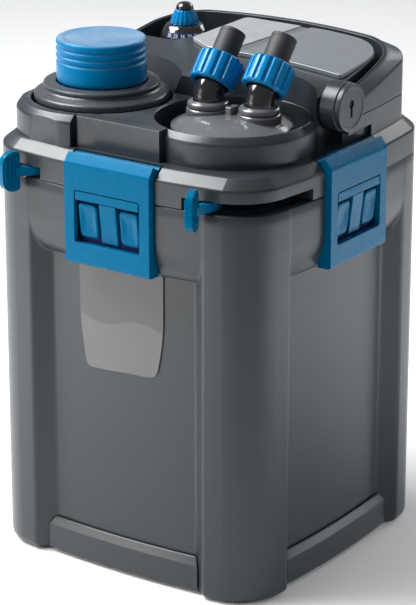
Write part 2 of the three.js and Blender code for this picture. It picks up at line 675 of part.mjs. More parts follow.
const pumpHousing = () => turned([
  [11.5, 282], [30, 282], [30, 285], [27, 285], [27, 334], [24.5, 334], [24.5, 287.5], [14, 287.5],
  [14, 326], [0, 326], [0, 323.5], [11.5, 323.5], [11.5, 282]], 18);
const pumpCoil = () => ring(14.6, 24, 288.2, 322, 0, 0, 16);
const impellerCover = () => cut(
  disc(30, 254, 275.6, 0, 0, 18), disc(24, 257, 280, 0, 0, 18), disc(8, 250, 260, 0, 0, 10));
const rotorShaft = () => disc(2, 254.4, 323, 0, 0, 8);

/** The magnet with its impeller, one moulding on the shaft. */
function rotor() {
  const blades = [0, 60, 120].map((turn) => solid(
    boxGeometry([-20, 20], [-1, 1], [260, 272]).rotateZ(turn * DEG)));
  const body = joined(disc(10.8, 274, 320, 0, 0, 16), disc(8, 259, 276, 0, 0, 12), ...blades);
  return cut(body, disc(2.4, 250, 330, 0, 0, 8));
}

// ---------------------------------------------------------------- assembly

const filter = new THREE.Group();

function add(parent, name, finish, shape) {
  const mesh = new THREE.Mesh(geometryOf(shape), new THREE.MeshStandardMaterial(finish));
  mesh.name = name;
  parent.add(mesh);
  return mesh;
}

function group(x, y, turn = 0, slide = 0) {
  const made = new THREE.Group();
  made.position.set(x + slide * Math.cos(turn), y + slide * Math.sin(turn), 0);
  made.rotation.z = turn;
  filter.add(made);
  return made;
}

add(filter, 'canister_shell', BODY, canisterShell());
const [footShape, skirtShape] = [foot(), baseSkirt()];
const [frameShape, clawShape, pinShape] = [latchFrame(), latchClaw(), latchPin()];
for (const side of SIDES) {
  add(group(side.x, side.y, side.turn), `base_skirt_${side.name}`, BODY, skirtShape);
  const latch = group(side.x, side.y, side.turn, latchSlide(side));
  add(latch, `latch_frame_${side.name}`, BLUE, frameShape);
  add(latch, `latch_claw_${side.name}`, BLUE, clawShape);
  add(latch, `latch_pin_${side.name}`, STEEL, pinShape);
}
for (const [back, sy] of [['front', -1], ['rear', 1]]) {
  for (const [hand, sx] of [['left', -1], ['right', 1]]) {
    add(group(sx * FOOT.x, sy * FOOT.y), `foot_${back}_${hand}`, RUBBER, footShape);
  }
}
add(group(0, -HALF_DEPTH), 'label_plate', PANEL, labelPlate());

BASKETS.names.forEach((name, index) => {
  add(filter, `media_basket_${name}`, DARK, basket(index));
  add(filter, `filter_foam_${name}`, index === 1 ? FOAM_FINE : FOAM_COARSE, foamBlock(index));
});

add(filter, 'head_cover', BODY, headCover());
add(filter, 'head_base', DARK, headBase());
add(filter, 'head_seal', RUBBER, headSeal());
add(filter, 'pump_cover', BRUSHED, pumpCover());

add(filter, 'carrying_handle', BODY, handle());
add(filter, 'handle_pivot_right', BODY, pivotCap());
const leftPivot = new THREE.Group();
leftPivot.position.set(0, 2 * PIVOT.y, 0);
leftPivot.rotation.z = Math.PI;
filter.add(leftPivot);
add(leftPivot, 'handle_pivot_left', BODY, pivotCap());

add(filter, 'adapter_lever', BLUE, lockingLever(ADAPTER, -72.3, 8, 86));
add(filter, 'prefilter_lever', BLUE, lockingLever(PREFILTER, -105.6, 6, 74));

add(filter, 'adapter_body', DARK, adapterBody());
const [elbowShape, nutShape, hoseShape] = [elbow(), unionNut(), hoseTail()];
for (const [name, [x, y]] of Object.entries(ELBOWS)) {
  const port = group(x, y);
  add(port, `elbow_${name}`, GLOSS, elbowShape);
  add(port, `union_nut_${name}`, BLUE, nutShape);
  add(port, `hose_tail_${name}`, RUBBER, hoseShape);
}

const prefilter = group(PREFILTER.x, PREFILTER.y);
add(prefilter, 'prefilter_flange', DARK, prefilterFlange());
add(prefilter, 'prefilter_cage', DARK, prefilterCage());
add(prefilter, 'prefilter_foam', FOAM_FINE, prefilterFoam());
add(prefilter, 'priming_cap', BLUE, primingCap());
add(prefilter, 'priming_piston', DARK, primingPiston());
add(prefilter, 'priming_spring', STEEL, primingSpring());

const heater = group(HEATER.x, HEATER.y);
add(heater, 'heater_tube', QUARTZ, heaterTube());
add(heater, 'heater_head', GLOSS, heaterHead());
add(heater, 'heater_dial', BLUE, heaterDial());
add(heater, 'heater_tip', GLOSS, heaterTip());

const pump = group(PUMP.x, PUMP.y);
add(pump, 'pump_housing', DARK, pumpHousing());
add(pump, 'pump_coil', COPPER, pumpCoil());
add(pump, 'impeller_cover', DARK, impellerCover());
add(pump, 'pump_rotor', DARK, rotor());
add(pump, 'rotor_shaft', CERAMIC, rotorShaft());

export default filter;
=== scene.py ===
"""Looks of the canister filter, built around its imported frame.

All sizes in the classes are millimetres in the frame's own axes: +Z up, the label faces -Y.
"""

import json
import logging
import math
from collections.abc import Callable, Iterable, Sequence
from dataclasses import dataclass, field
from enum import Enum

import bmesh
import bpy
from mathutils import Matrix, Vector

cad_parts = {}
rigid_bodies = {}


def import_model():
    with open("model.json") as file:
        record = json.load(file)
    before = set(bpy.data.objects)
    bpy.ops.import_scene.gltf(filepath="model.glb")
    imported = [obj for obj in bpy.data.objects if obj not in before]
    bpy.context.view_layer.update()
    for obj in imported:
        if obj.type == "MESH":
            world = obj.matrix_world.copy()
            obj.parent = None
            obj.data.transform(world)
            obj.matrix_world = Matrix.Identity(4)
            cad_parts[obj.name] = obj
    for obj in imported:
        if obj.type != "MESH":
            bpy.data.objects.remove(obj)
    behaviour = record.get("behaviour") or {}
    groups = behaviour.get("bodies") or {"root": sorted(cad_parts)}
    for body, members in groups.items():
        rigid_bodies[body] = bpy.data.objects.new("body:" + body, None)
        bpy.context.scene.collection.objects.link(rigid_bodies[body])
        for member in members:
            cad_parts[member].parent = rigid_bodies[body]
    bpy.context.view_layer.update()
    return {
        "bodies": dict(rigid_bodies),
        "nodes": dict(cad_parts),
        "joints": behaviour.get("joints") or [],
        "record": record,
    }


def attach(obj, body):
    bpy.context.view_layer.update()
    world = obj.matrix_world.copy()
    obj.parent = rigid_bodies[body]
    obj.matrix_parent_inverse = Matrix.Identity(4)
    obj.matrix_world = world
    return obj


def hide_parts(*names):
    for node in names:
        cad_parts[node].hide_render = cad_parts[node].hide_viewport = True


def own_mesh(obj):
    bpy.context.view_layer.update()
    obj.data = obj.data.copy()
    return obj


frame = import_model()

LOG = logging.getLogger("canister_filter")
MM = 0.001
MERGE = 1e-6

Flat = tuple[float, float]
Corner = tuple[float, float, float]
Point = tuple[float, float, float]
Colour = tuple[float, float, float]
Height = Callable[[float, float], float]
Sockets = bpy.types.bpy_prop_collection


class Operation(Enum):
    """How one closed mesh acts on another."""

    CUT = "DIFFERENCE"
    JOIN = "UNION"
    KEEP = "INTERSECT"


class Slot(Enum):
    """The record's material slots."""

    BODY = "body_plastic"
    BLUE = "blue_plastic"
    GLOSS = "gloss_black_plastic"
    DARK = "dark_plastic"
    RUBBER = "rubber"
    LABEL = "label_film"
    PLATE = "brushed_plate"
    STEEL = "steel"


# ---------------------------------------------------------------- mesh making


def linked(name: str, data: bpy.types.ID) -> bpy.types.Object:
    """Puts a new object with the given data into the scene.

    Args:
        name: name of the new object.
        data: its mesh, curve, light or camera data.

    Returns:
        The object.
    """
    obj = bpy.data.objects.new(name, data)
    bpy.context.scene.collection.objects.link(obj)
    return obj


def mesh_object(name: str, points: Sequence[Point], faces: Sequence[Sequence[int]]) -> bpy.types.Object:
    """Makes an object in the scene from millimetre points.

    Args:
        name: name of the object and its mesh.
        points: corner points in millimetres.
        faces: corner numbers of each face.

    Returns:
        The linked object, its faces pointing out and its doubled points merged.
    """
    mesh = bpy.data.meshes.new(name)
    mesh.from_pydata([(x * MM, y * MM, z * MM) for x, y, z in points], [], [list(f) for f in faces])
    tidy = bmesh.new()
    tidy.from_mesh(mesh)
    bmesh.ops.remove_doubles(tidy, verts=tidy.verts, dist=MERGE)
    bmesh.ops.dissolve_degenerate(tidy, edges=tidy.edges, dist=MERGE)
    bmesh.ops.recalc_face_normals(tidy, faces=tidy.faces)
    tidy.to_mesh(mesh)
    tidy.free()
    return linked(name, mesh)


def skin(name: str, rings: Sequence[Sequence[Point]], wrap: bool = False) -> bpy.types.Object:
    """Stretches a skin over rings of equal length.

    Args:
        name: name of the new object.
        rings: closed rings of points, in order.
        wrap: joins the last ring back to the first in place of capping both.

    Returns:
        A closed mesh.
    """
    count = len(rings[0])
    points = [p for ring in rings for p in ring]
    faces: list[list[int]] = []
    steps = len(rings) if wrap else len(rings) - 1
    for r in range(steps):
        low, high = r * count, (r + 1) % len(rings) * count
        for i in range(count):
            j = (i + 1) % count
            faces.append([low + i, low + j, high + j, high + i])
    if not wrap:
        faces.append(list(range(count))[::-1])
        faces.append(list(range(len(points) - count, len(points))))
    return mesh_object(name, points, faces)


def filleted(corners: Sequence[Corner], steps: int = 4, closed: bool = False) -> list[Flat]:
    """Rounds the corners of a line in a plane.

    Args:
        corners: each corner as u, v and the length taken off both its sides.
        steps: pieces in each rounded corner.
        closed: treats the line as a loop.

    Returns:
        The points of the rounded line.
    """
    made: list[Flat] = []
    last = len(corners) - 1
    for i, (u, v, cut) in enumerate(corners):
        if cut <= 0 or (not closed and i in (0, last)):
            made.append((u, v))
            continue
        before, after = corners[i - 1], corners[(i + 1) % len(corners)]
        ends = []
        for other in (before, after):
            du, dv = other[0] - u, other[1] - v
            length = math.hypot(du, dv)
            share = min(cut, 0.49 * length) / length
            ends.append((u + du * share, v + dv * share))
        for k in range(steps + 1):
            t = k / steps
            a, b, c = (1 - t) ** 2, 2 * t * (1 - t), t * t
            made.append((a * ends[0][0] + b * u + c * ends[1][0], a * ends[0][1] + b * v + c * ends[1][1]))
    return made


@dataclass(frozen=True)
class Axis:
    """A line in space that turned pieces are drawn about.

    The line passes through (x, y, z), upright unless it leans back from +Z towards +Y by lean degrees.
    """

    x: float = 0.0
    y: float = 0.0
    z: float = 0.0
    lean: float = 0.0

    def at(self, radius: float, along: float, angle: float) -> Point:
        """The point at a radius, a distance along the line and an angle about it.

        Args:
            radius: distance from the axis.
            along: distance along the axis.
            angle: radians about the axis.

        Returns:
            The point in the filter's frame.
        """
        tilt = math.radians(self.lean)
        px, py = radius * math.cos(angle), radius * math.sin(angle)
        y = py * math.cos(tilt) + along * math.sin(tilt)
        z = -py * math.sin(tilt) + along * math.cos(tilt)
        return (self.x + px, self.y + y, self.z + z)


def lathe(
    name: str,
    profile: Sequence[Flat],
    axis: Axis,
    sides: int = 96,
    wrap: bool = False,
    shape: Callable[[float, float, float], float] | None = None,
) -> bpy.types.Object:
    """Turns a profile about an axis.

    Args:
        name: name of the new object.
        profile: points of radius and distance along the axis.
        axis: the line to turn about.
        sides: facets round the piece.
        wrap: the profile is a loop that doesn't reach the axis.
        shape: changes a radius, given the radius, the distance along and the angle.

    Returns:
        A closed mesh.
    """
    rings = []
    for radius, along in profile:
        ring = []
        for i in range(sides):
            angle = 2 * math.pi * i / sides
            r = shape(radius, along, angle) if shape else radius
            ring.append(axis.at(r, along, angle))
        rings.append(ring)
    return skin(name, rings, wrap)


def turned(
    name: str,
    corners: Sequence[Corner],
    axis: Axis,
    sides: int = 96,
    steps: int = 4,
    loop: bool = False,
    shape: Callable[[float, float, float], float] | None = None,
) -> bpy.types.Object:
    """Turns a profile with rounded corners about an axis.

    Args:
        name: name of the new object.
        corners: corners of the profile, each as radius, distance along and the length taken off both its sides.
        axis: the line to turn about.
        sides: facets round the piece.
        steps: pieces in each rounded corner.
        loop: the profile is a loop that doesn't reach the axis.
        shape: changes a radius, given the radius, the distance along and the angle.

    Returns:
        A closed mesh.
    """
    return lathe(name, filleted(corners, steps, closed=loop), axis, sides, wrap=loop, shape=shape)


def drawn(name: str, profile: Sequence[Flat], xs: Flat) -> bpy.types.Object:
    """A bar along X with a profile of y and z."""
    return skin(name, [[(x, y, z) for y, z in profile] for x in xs])


def prism(name: str, plan: Sequence[Flat], low: float, high: float) -> bpy.types.Object:
    """An upright block over a plan outline."""
    return skin(name, [[(x, y, low) for x, y in plan], [(x, y, high) for x, y in plan]])


def block(name: str, xs: Flat, ys: Flat, zs: Flat) -> bpy.types.Object:
    """A plain block, used to cut or to trim."""
    return prism(name, [(xs[0], ys[0]), (xs[1], ys[0]), (xs[1], ys[1]), (xs[0], ys[1])], *zs)


def combine(body: bpy.types.Object, operation: Operation, *tools: bpy.types.Object) -> bpy.types.Object:
    """Joins, cuts or trims a closed mesh with others, which are used up.

    Args:
        body: the mesh that is changed.
        operation: what the tools do to it.
        tools: the other closed meshes.

    Returns:
        The changed body.
    """
    for tool in tools:
        step = body.modifiers.new("combine", "BOOLEAN")
        step.operation = operation.value
        step.solver = "EXACT"
        step.object = tool
    bpy.context.view_layer.update()
    graph = bpy.context.evaluated_depsgraph_get()
    made = bpy.data.meshes.new_from_object(body.evaluated_get(graph))
    body.modifiers.clear()
    body.data = made
    for tool in tools:
        bpy.data.objects.remove(tool)
    return body


def placed(obj: bpy.types.Object, matrix: Matrix) -> bpy.types.Object:
    """Moves an object's mesh by a matrix in metres."""
    obj.data.transform(matrix)
    return obj


def facing_out(sign: int, x: float, y: float, z: float) -> Matrix:
    """Lays an upright turned piece along X at a place on the right (1) or the left (-1), in metres."""
    return Matrix.Translation(Vector((sign * x, y, z)) * MM) @ Matrix.Rotation(sign * math.pi / 2, 4, "Y")


def merged(name: str, parts: Iterable[bpy.types.Object]) -> bpy.types.Object:
    """Puts several separate meshes that don't touch into one object.

    Args:
        name: name of the new object.
        parts: the meshes, which are used up.

    Returns:
        The new object.
    """
    whole = bmesh.new()
    for part in list(parts):
        whole.from_mesh(part.data)
        bpy.data.objects.remove(part)
    mesh = bpy.data.meshes.new(name)
    whole.to_mesh(mesh)
    whole.free()
    return linked(name, mesh)


def shade(obj: bpy.types.Object, crease: float = 38.0) -> bpy.types.Object:
    """Shades a mesh smoothly, with creases where its faces turn by more than an angle.

    Args:
        obj: the mesh.
        crease: degrees of turn that leave a crease.

    Returns:
        The same mesh.
    """
    obj.data.shade_smooth()
    obj.data.set_sharp_from_angle(angle=math.radians(crease))
    return obj


def broad_first(obj: bpy.types.Object, weight: int) -> bpy.types.Object:
    """Lets a mesh's broad faces lead its shading.

    Args:
        obj: the mesh.
        weight: how far the broad faces lead, 50 being neutral.

    Returns:
        The same mesh.
    """
    step = obj.modifiers.new("even_shading", "WEIGHTED_NORMAL")
    step.keep_sharp = True
    step.weight = weight
    return obj


def even(obj: bpy.types.Object, crease: float = 30.0) -> bpy.types.Object:
    """Creases a mesh by angle and lets its broad faces lead the shading."""
    return broad_first(shade(obj, crease), 80)


def soften(obj: bpy.types.Object, width: float, segments: int = 3, angle: float = 32.0) -> bpy.types.Object:
    """Rounds a mesh's edges and evens its shading.

    Args:
        obj: the mesh.
        width: width of the rounding in millimetres.
        segments: steps across the rounding.
        angle: edges that turn by more than this many degrees are rounded.

    Returns:
        The same object.
    """
    bevel = obj.modifiers.new("edge_radius", "BEVEL")
    bevel.width = width * MM
    bevel.segments = segments
    bevel.limit_method = "ANGLE"
    bevel.angle_limit = math.radians(angle)
    bevel.use_clamp_overlap = True
    obj.data.shade_smooth()
    return broad_first(obj, 60)


def smooth_min(a: float, b: float, blend: float) -> float:
    """The smaller of two values, with a rounded change from one to the other."""
    h = max(blend - abs(a - b), 0.0) / blend
    return min(a, b) - h * h * blend * 0.25


def smooth_max(a: float, b: float, blend: float) -> float:
    """The larger of two values, with a rounded change from one to the other."""
    return -smooth_min(-a, -b, blend)


def spaced(low: float, high: float, step: float) -> list[float]:
    """Even stops from low to high, about a step apart."""
    count = max(1, round((high - low) / step))
    return [low + (high - low) * i / count for i in range(count + 1)]


# ---------------------------------------------------------------- plan of the filter


@dataclass(frozen=True)
class Footprint:
    """The rounded square that the filter is drawn on."""

    half_width: float = 115.0
    half_depth: float = 114.0
    corner: float = 34.0
    bulge: float = 6.3
    flatness: float = 5.1
    side_steps: int = 28
    corner_steps: int = 14

    def corner_face(self, inset: float) -> list[Flat]:
        """The bowed face of a corner, from crease to crease about the corner's own centre.

        Args:
            inset: distance in from the nominal outline.

        Returns:
            Distances out from the corner's centre, across and along the first side.
        """
        radius = self.corner - inset
        back = self.flatness * math.sqrt(0.5)
        start = math.acos((radius + back) / (radius + self.flatness))
        turn = math.pi / 2 - 2 * start
        shares = [0.0, 0.02, *(i / self.corner_steps for i in range(1, self.corner_steps)), 0.98, 1.0]
        full = radius + self.flatness
        return [(full * math.cos(start + turn * t) - back, full * math.sin(start + turn * t) - back) for t in shares]

    def crease(self, inset: float) -> float:
        """How far a side runs on past its corner's centre to the crease."""
        return self.corner_face(inset)[0][1]

    def plan(self, inset: float = 0.0) -> list[Flat]:
        """The outline moved in by an inset, anticlockwise from the middle of the right side.

        Args:
            inset: distance in from the nominal outline.

        Returns:
            The outline's points.
        """
        a, b = self.half_width - self.corner, self.half_depth - self.corner
        crease, face = self.crease(inset), self.corner_face(inset)
        quarters = [
            (a, b, self.half_width, lambda x, y: (x, y)),
            (b, a, self.half_depth, lambda x, y: (-y, x)),
            (a, b, self.half_width, lambda x, y: (-x, -y)),
            (b, a, self.half_depth, lambda x, y: (y, -x)),
        ]
        points: list[Flat] = []
        for across, along, reach, turn in quarters:
            for i in range(1, self.side_steps):
                t = -1 + 2 * i / self.side_steps
                points.append(turn(reach - inset + self.bulge * (1 - t * t), t * (along + crease)))
            points += [turn(across + dx, along + dy) for dx, dy in face]
        return points

    def ring(self, inset: float, height: float | Height) -> list[Point]:
        """The outline at an inset and a height, which may change over the plan.

        Args:
            inset: distance in from the nominal outline.
            height: the height, or what gives it at a plan point.

        Returns:
            The ring's points.
        """
        if callable(height):
            return [(x, y, height(x, y)) for x, y in self.plan(inset)]
        return [(x, y, height) for x, y in self.plan(inset)]

    def solid(self, name: str, inset: float, low: float, high: float) -> bpy.types.Object:
        """An upright block over the outline at an inset."""
        return prism(name, self.plan(inset), low, high)


@dataclass(frozen=True)
class Side:
    """One side of the filter: its own frame has x to the right and y into the body."""

    name: str
    turn: float
    x: float
    y: float
    latch_shift: float = 0.0

    def point(self, x: float, y: float, z: float) -> Point:
        """A point of the side's own frame in the filter's frame."""
        c, s = math.cos(self.turn), math.sin(self.turn)
        return (self.x + x * c - y * s, self.y + x * s + y * c, z)

    def matrix(self) -> Matrix:
        """Moves a mesh drawn in the latch's own frame to its place, in metres.

        Returns:
            The matrix.
        """
        c, s = math.cos(self.turn), math.sin(self.turn)
        x, y = self.x + self.latch_shift * c, self.y + self.latch_shift * s
        return Matrix.Translation((x * MM, y * MM, 0)) @ Matrix.Rotation(self.turn, 4, "Z")


PLAN = Footprint()
REAR = Footprint(corner=52.0, bulge=6.0)
SIDES = (
    Side("front", 0.0, 0.0, -PLAN.half_depth),
    Side("right", math.pi / 2, PLAN.half_width, 0.0),
    Side("rear", math.pi, 0.0, PLAN.half_depth),
    Side("left", -math.pi / 2, -PLAN.half_width, 0.0, latch_shift=-8.0),
)


@dataclass(frozen=True)
class Well:
    """A round well in the head."""

    x: float
    y: float
    ring: float
    bore: float
    floor: float
    hole: float

    @property
    def axis(self) -> Axis:
        """The well's upright centre line."""
        return Axis(self.x, self.y)


PREFILTER_WELL = Well(-59.0, -49.0, 60.5, 50.0, 312.0, 42.5)
ADAPTER_WELL = Well(47.5, -42.0, 58.6, 53.5, 309.0, 42.5)


# ---------------------------------------------------------------- shader effects


class NodeKit:
    """Short ways to add and join shader nodes in one tree."""

    def __init__(self, tree: bpy.types.NodeTree) -> None:
        """Works on a node tree.

        Args:
            tree: the material's or group's tree.
        """
        self.tree = tree

    def add(self, kind: str, **settings: object) -> bpy.types.Node:
        """Adds a node and sets its own settings.

        Args:
            kind: the node's type.
            settings: the node's own settings.

        Returns:
            The node.
        """
        node = self.tree.nodes.new(kind)
        for key, value in settings.items():
            setattr(node, key, value)
        return node

    def join(self, source: bpy.types.NodeSocket, target: bpy.types.NodeSocket) -> None:
        """Joins two sockets."""
        self.tree.links.new(source, target)

    def feed(self, socket: bpy.types.NodeSocket, value: object) -> None:
        """Joins a source to a socket, or sets the socket's own number or colour.

        Args:
            socket: the socket to feed.
            value: a source, a number, a colour or None.
        """
        if isinstance(value, bpy.types.NodeSocket):
            self.join(value, socket)
        elif isinstance(value, tuple):
            socket.default_value = (*value, 1.0)
        elif value is not None:
            socket.default_value = value

    def math(self, operation: str, a: object, b: object = None, clamp: bool = False) -> bpy.types.NodeSocket:
        """Does sums on two values.

        Args:
            operation: name of the sum.
            a: first value, a number or a socket.
            b: second value, if the sum has one.
            clamp: keeps the result between 0 and 1.

        Returns:
            The result's socket.
        """
        node = self.add("ShaderNodeMath", operation=operation, use_clamp=clamp)
        for socket, value in zip(node.inputs, (a, b)):
            self.feed(socket, value)
        return node.outputs[0]

    def mix(self, share: object, a: object, b: object) -> bpy.types.NodeSocket:
        """Mixes two colours.

        Args:
            share: how much of the second colour, a number or a socket.
            a: first colour or socket.
            b: second colour or socket.

        Returns:
            The colour's socket.
        """
        node = self.add("ShaderNodeMix", data_type="RGBA")
        for number, value in ((0, share), (6, a), (7, b)):
            self.feed(node.inputs[number], value)
        return node.outputs[2]

    def noise(self, scale: object, detail: float, vector: bpy.types.NodeSocket) -> bpy.types.NodeSocket:
        """Soft noise between 0 and 1 over the object.

        Args:
            scale: a number or a source.
            detail: layers of detail.
            vector: source of the place.

        Returns:
            The noise's socket.
        """
        node = self.add("ShaderNodeTexNoise")
        for name, value in (("Detail", detail), ("Scale", scale), ("Vector", vector)):
            self.feed(node.inputs[name], value)
        return node.outputs[0]

    def bump(self, height: bpy.types.NodeSocket, shader: bpy.types.Node, depth: float, strength: float = 1.0) -> None:
        """Lets a height shape a shader's normal.

        Args:
            height: source of the height.
            shader: the material's shader.
            depth: the height's full swing in millimetres.
            strength: share of the effect.
        """
        node = self.add("ShaderNodeBump")
        for name, value in (("Strength", strength), ("Distance", depth * MM), ("Height", height)):
            self.feed(node.inputs[name], value)
        self.join(node.outputs[0], shader.inputs["Normal"])

    def place(self) -> bpy.types.NodeSocket:
        """Position on the piece, in metres."""
        return self.add("ShaderNodeTexCoord").outputs["Object"]


class Effects:
    """Effects that several finishes share, each one a shader node group made once."""

    def __init__(self) -> None:
        """Builds every group."""
        self.grain = self._mould_grain()
        self.drift = self._tone_drift()
        self.dust_and_top_light = self._settled_dust()
        self.brushing = self._brushed_lines()
        self.wear_and_edge_highlight = self._edge_wear()

    @staticmethod
    def _group(name: str, inputs: Sequence[str], outputs: Sequence[str]) -> tuple[NodeKit, Sockets, Sockets]:
        """Starts a group. A socket named Colour holds a colour, and any other a number.

        Args:
            name: name of the group.
            inputs: name of each input.
            outputs: name of each output.

        Returns:
            A kit that works on the group, what the group is given and what it puts out.
        """
        group = bpy.data.node_groups.new(name, "ShaderNodeTree")
        for way, sockets in (("INPUT", inputs), ("OUTPUT", outputs)):
            for socket in sockets:
                kind = "NodeSocketColor" if socket == "Colour" else "NodeSocketFloat"
                group.interface.new_socket(socket, in_out=way, socket_type=kind)
        kit = NodeKit(group)
        return kit, kit.add("NodeGroupInput").outputs, kit.add("NodeGroupOutput").inputs

    def _mould_grain(self) -> bpy.types.NodeTree:
        """Fine texture left by the mould, as a height and a change of roughness.

        Returns:
            The group.
        """
        kit, given, made = self._group("mould_grain", ("Size", "Roughness", "Spread"), ("Height", "Roughness"))
        where = kit.place()
        scale = kit.math("DIVIDE", 1000.0, given["Size"])
        fine = kit.noise(scale, 3.0, where)
        broad = kit.noise(kit.math("MULTIPLY", scale, 0.04), 2.0, where)
        kit.join(kit.math("ADD", fine, kit.math("MULTIPLY", broad, 0.4)), made["Height"])
        change = kit.math("MULTIPLY", kit.math("SUBTRACT", broad, 0.5), given["Spread"])
        kit.join(kit.math("ADD", given["Roughness"], change, True), made["Roughness"])
        return kit.tree

    def _tone_drift(self) -> bpy.types.NodeTree:
        """Slow change of tone across a moulding.

        Returns:
            The group.
        """
        kit, given, made = self._group("tone_drift", ("Colour", "Amount", "Scale"), ("Colour",))
        noise = kit.noise(given["Scale"], 4.0, kit.place())
        swing = kit.math("MULTIPLY", kit.math("SUBTRACT", noise, 0.5), given["Amount"])
        shade_node = kit.add("ShaderNodeHueSaturation")
        kit.join(kit.math("ADD", 1.0, swing), shade_node.inputs["Value"])
        kit.join(given["Colour"], shade_node.inputs["Color"])
        kit.join(shade_node.outputs[0], made["Colour"])
        return kit.tree

    def _settled_dust(self) -> bpy.types.NodeTree:
        """Pale colour on what faces up: thin dust, and on the blue cap mostly painted top light, a paler top standing
        in for the light from above.

        Returns:
            The group.
        """
        kit, given, made = self._group("settled_dust", ("Colour", "Amount"), ("Colour",))
        facing = kit.add("ShaderNodeSeparateXYZ")
        kit.join(kit.add("ShaderNodeNewGeometry").outputs["Normal"], facing.inputs[0])
        # upward faces are mixed towards pale grey: dust, and painted top light where the amount is large
        upward = kit.math("POWER", kit.math("MAXIMUM", facing.outputs[2], 0.0), 3.0)
        patches = kit.noise(45.0, 5.0, kit.place())
        share = kit.math("MULTIPLY", kit.math("MULTIPLY", upward, patches), given["Amount"], True)
        kit.join(kit.mix(share, given["Colour"], (0.55, 0.56, 0.56)), made["Colour"])
        return kit.tree

    def _brushed_lines(self) -> bpy.types.NodeTree:
        """Fine parallel lines along X, as a height and a mask.

        Returns:
            The group.
        """
        kit, given, made = self._group("brushed_lines", ("Fineness",), ("Height", "Mask"))
        stretch = kit.add("ShaderNodeMapping")
        stretch.inputs["Scale"].default_value = (0.03, 1.0, 1.0)
        kit.join(kit.place(), stretch.inputs["Vector"])
        lines = kit.noise(given["Fineness"], 4.0, stretch.outputs[0])
        kit.join(lines, made["Height"])
        kit.join(kit.math("MULTIPLY", kit.math("SUBTRACT", lines, 0.35), 2.2, True), made["Mask"])
        return kit.tree

    def _edge_wear(self) -> bpy.types.NodeTree:
        """Slightly paler colour on sharp edges: a little wear, and painted edge highlight.

        Returns:
            The group.
        """
        kit, given, made = self._group("edge_wear", ("Colour", "Amount"), ("Colour",))
        geometry = kit.add("ShaderNodeNewGeometry")
        # sharp edges are mixed towards pale grey: wear, and painted edge highlight
        ridge = kit.math("MULTIPLY", kit.math("SUBTRACT", geometry.outputs["Pointiness"], 0.53), 9.0, True)
        share = kit.math("MULTIPLY", ridge, given["Amount"], True)
        kit.join(kit.mix(share, given["Colour"], (0.6, 0.63, 0.66)), made["Colour"])
        return kit.tree


def use_group(kit: NodeKit, group: bpy.types.NodeTree, **values: object) -> bpy.types.Node:
    """Places a shared effect in a material.

    Args:
        kit: kit of the material's tree.
        group: the effect.
        values: value or source socket of each named input.

    Returns:
        The placed group node.
    """
    node = kit.add("ShaderNodeGroup", node_tree=group)
    for name, value in values.items():
        kit.feed(node.inputs[name], value)
    return node


def started(name: str, **settings: object) -> tuple[bpy.types.Material, NodeKit, bpy.types.Node]:
    """Starts a material.

    Args:
        name: name of the material.
        settings: the shader's own numbers and colours, by input name with underscores for spaces.

    Returns:
        The material, a kit that works on it and its shader.
    """
    material = bpy.data.materials.new(name)
    material.use_nodes = True
    kit = NodeKit(material.node_tree)
    shader = material.node_tree.nodes["Principled BSDF"]
    for key, value in settings.items():
        kit.feed(shader.inputs[key.replace("_", " ")], value)
    return material, kit, shader


@dataclass(frozen=True)
class MouldedFinish:
    """A moulded plastic or rubber: colour, gloss and the mould's grain."""

    name: str
    colour: Colour
    roughness: float
    coat: float = 0.0
    coat_roughness: float = 0.1
    specular: float = 0.5
    tint: Colour = (1.0, 1.0, 1.0)
    grain_size: float = 0.35
    grain_depth: float = 0.02
    spread: float = 0.12
    drift: float = 0.1
    # pale upward faces: dust and painted top light; pale sharp edges: wear and painted edge highlight
    dust_and_top_light: float = 0.0
    wear_and_edge_highlight: float = 0.0

    def start(self, effects: Effects) -> tuple[bpy.types.Material, NodeKit, bpy.types.Node, bpy.types.NodeSocket]:
        """Makes the material with its shared effects.

        Args:
            effects: the shared groups.

        Returns:
            The material, its kit, its shader and the base colour's source.
        """
        material, kit, shader = started(
            self.name, Coat_Weight=self.coat, Coat_Roughness=self.coat_roughness, Specular_IOR_Level=self.specular,
            Specular_Tint=self.tint,
        )
        grain = use_group(kit, effects.grain, Size=self.grain_size, Roughness=self.roughness, Spread=self.spread)
        kit.join(grain.outputs["Roughness"], shader.inputs["Roughness"])
        kit.bump(grain.outputs["Height"], shader, self.grain_depth, 0.35)
        drift = use_group(kit, effects.drift, Colour=self.colour, Amount=self.drift, Scale=9.0)
        return material, kit, shader, drift.outputs[0]

    def finish(self, effects: Effects, kit: NodeKit, shader: bpy.types.Node, tone: bpy.types.NodeSocket) -> None:
        """Adds dust with painted top light, and wear with painted edge highlights, over the tone and joins it to the
        shader.

        Args:
            effects: the shared groups.
            kit: kit of the material's tree.
            shader: the material's shader.
            tone: the base colour's source.
        """
        dusted_and_top_lit = use_group(kit, effects.dust_and_top_light, Colour=tone, Amount=self.dust_and_top_light)
        worn_and_edge_lit = use_group(kit, effects.wear_and_edge_highlight, Colour=dusted_and_top_lit.outputs[0], Amount=self.wear_and_edge_highlight)
        kit.join(worn_and_edge_lit.outputs[0], shader.inputs["Base Color"])

    def material(self, effects: Effects) -> bpy.types.Material:
        """The finished material.

        Args:
            effects: the shared groups.

        Returns:
            The material.
        """
        material, kit, shader, tone = self.start(effects)
        self.finish(effects, kit, shader, tone)
        return material


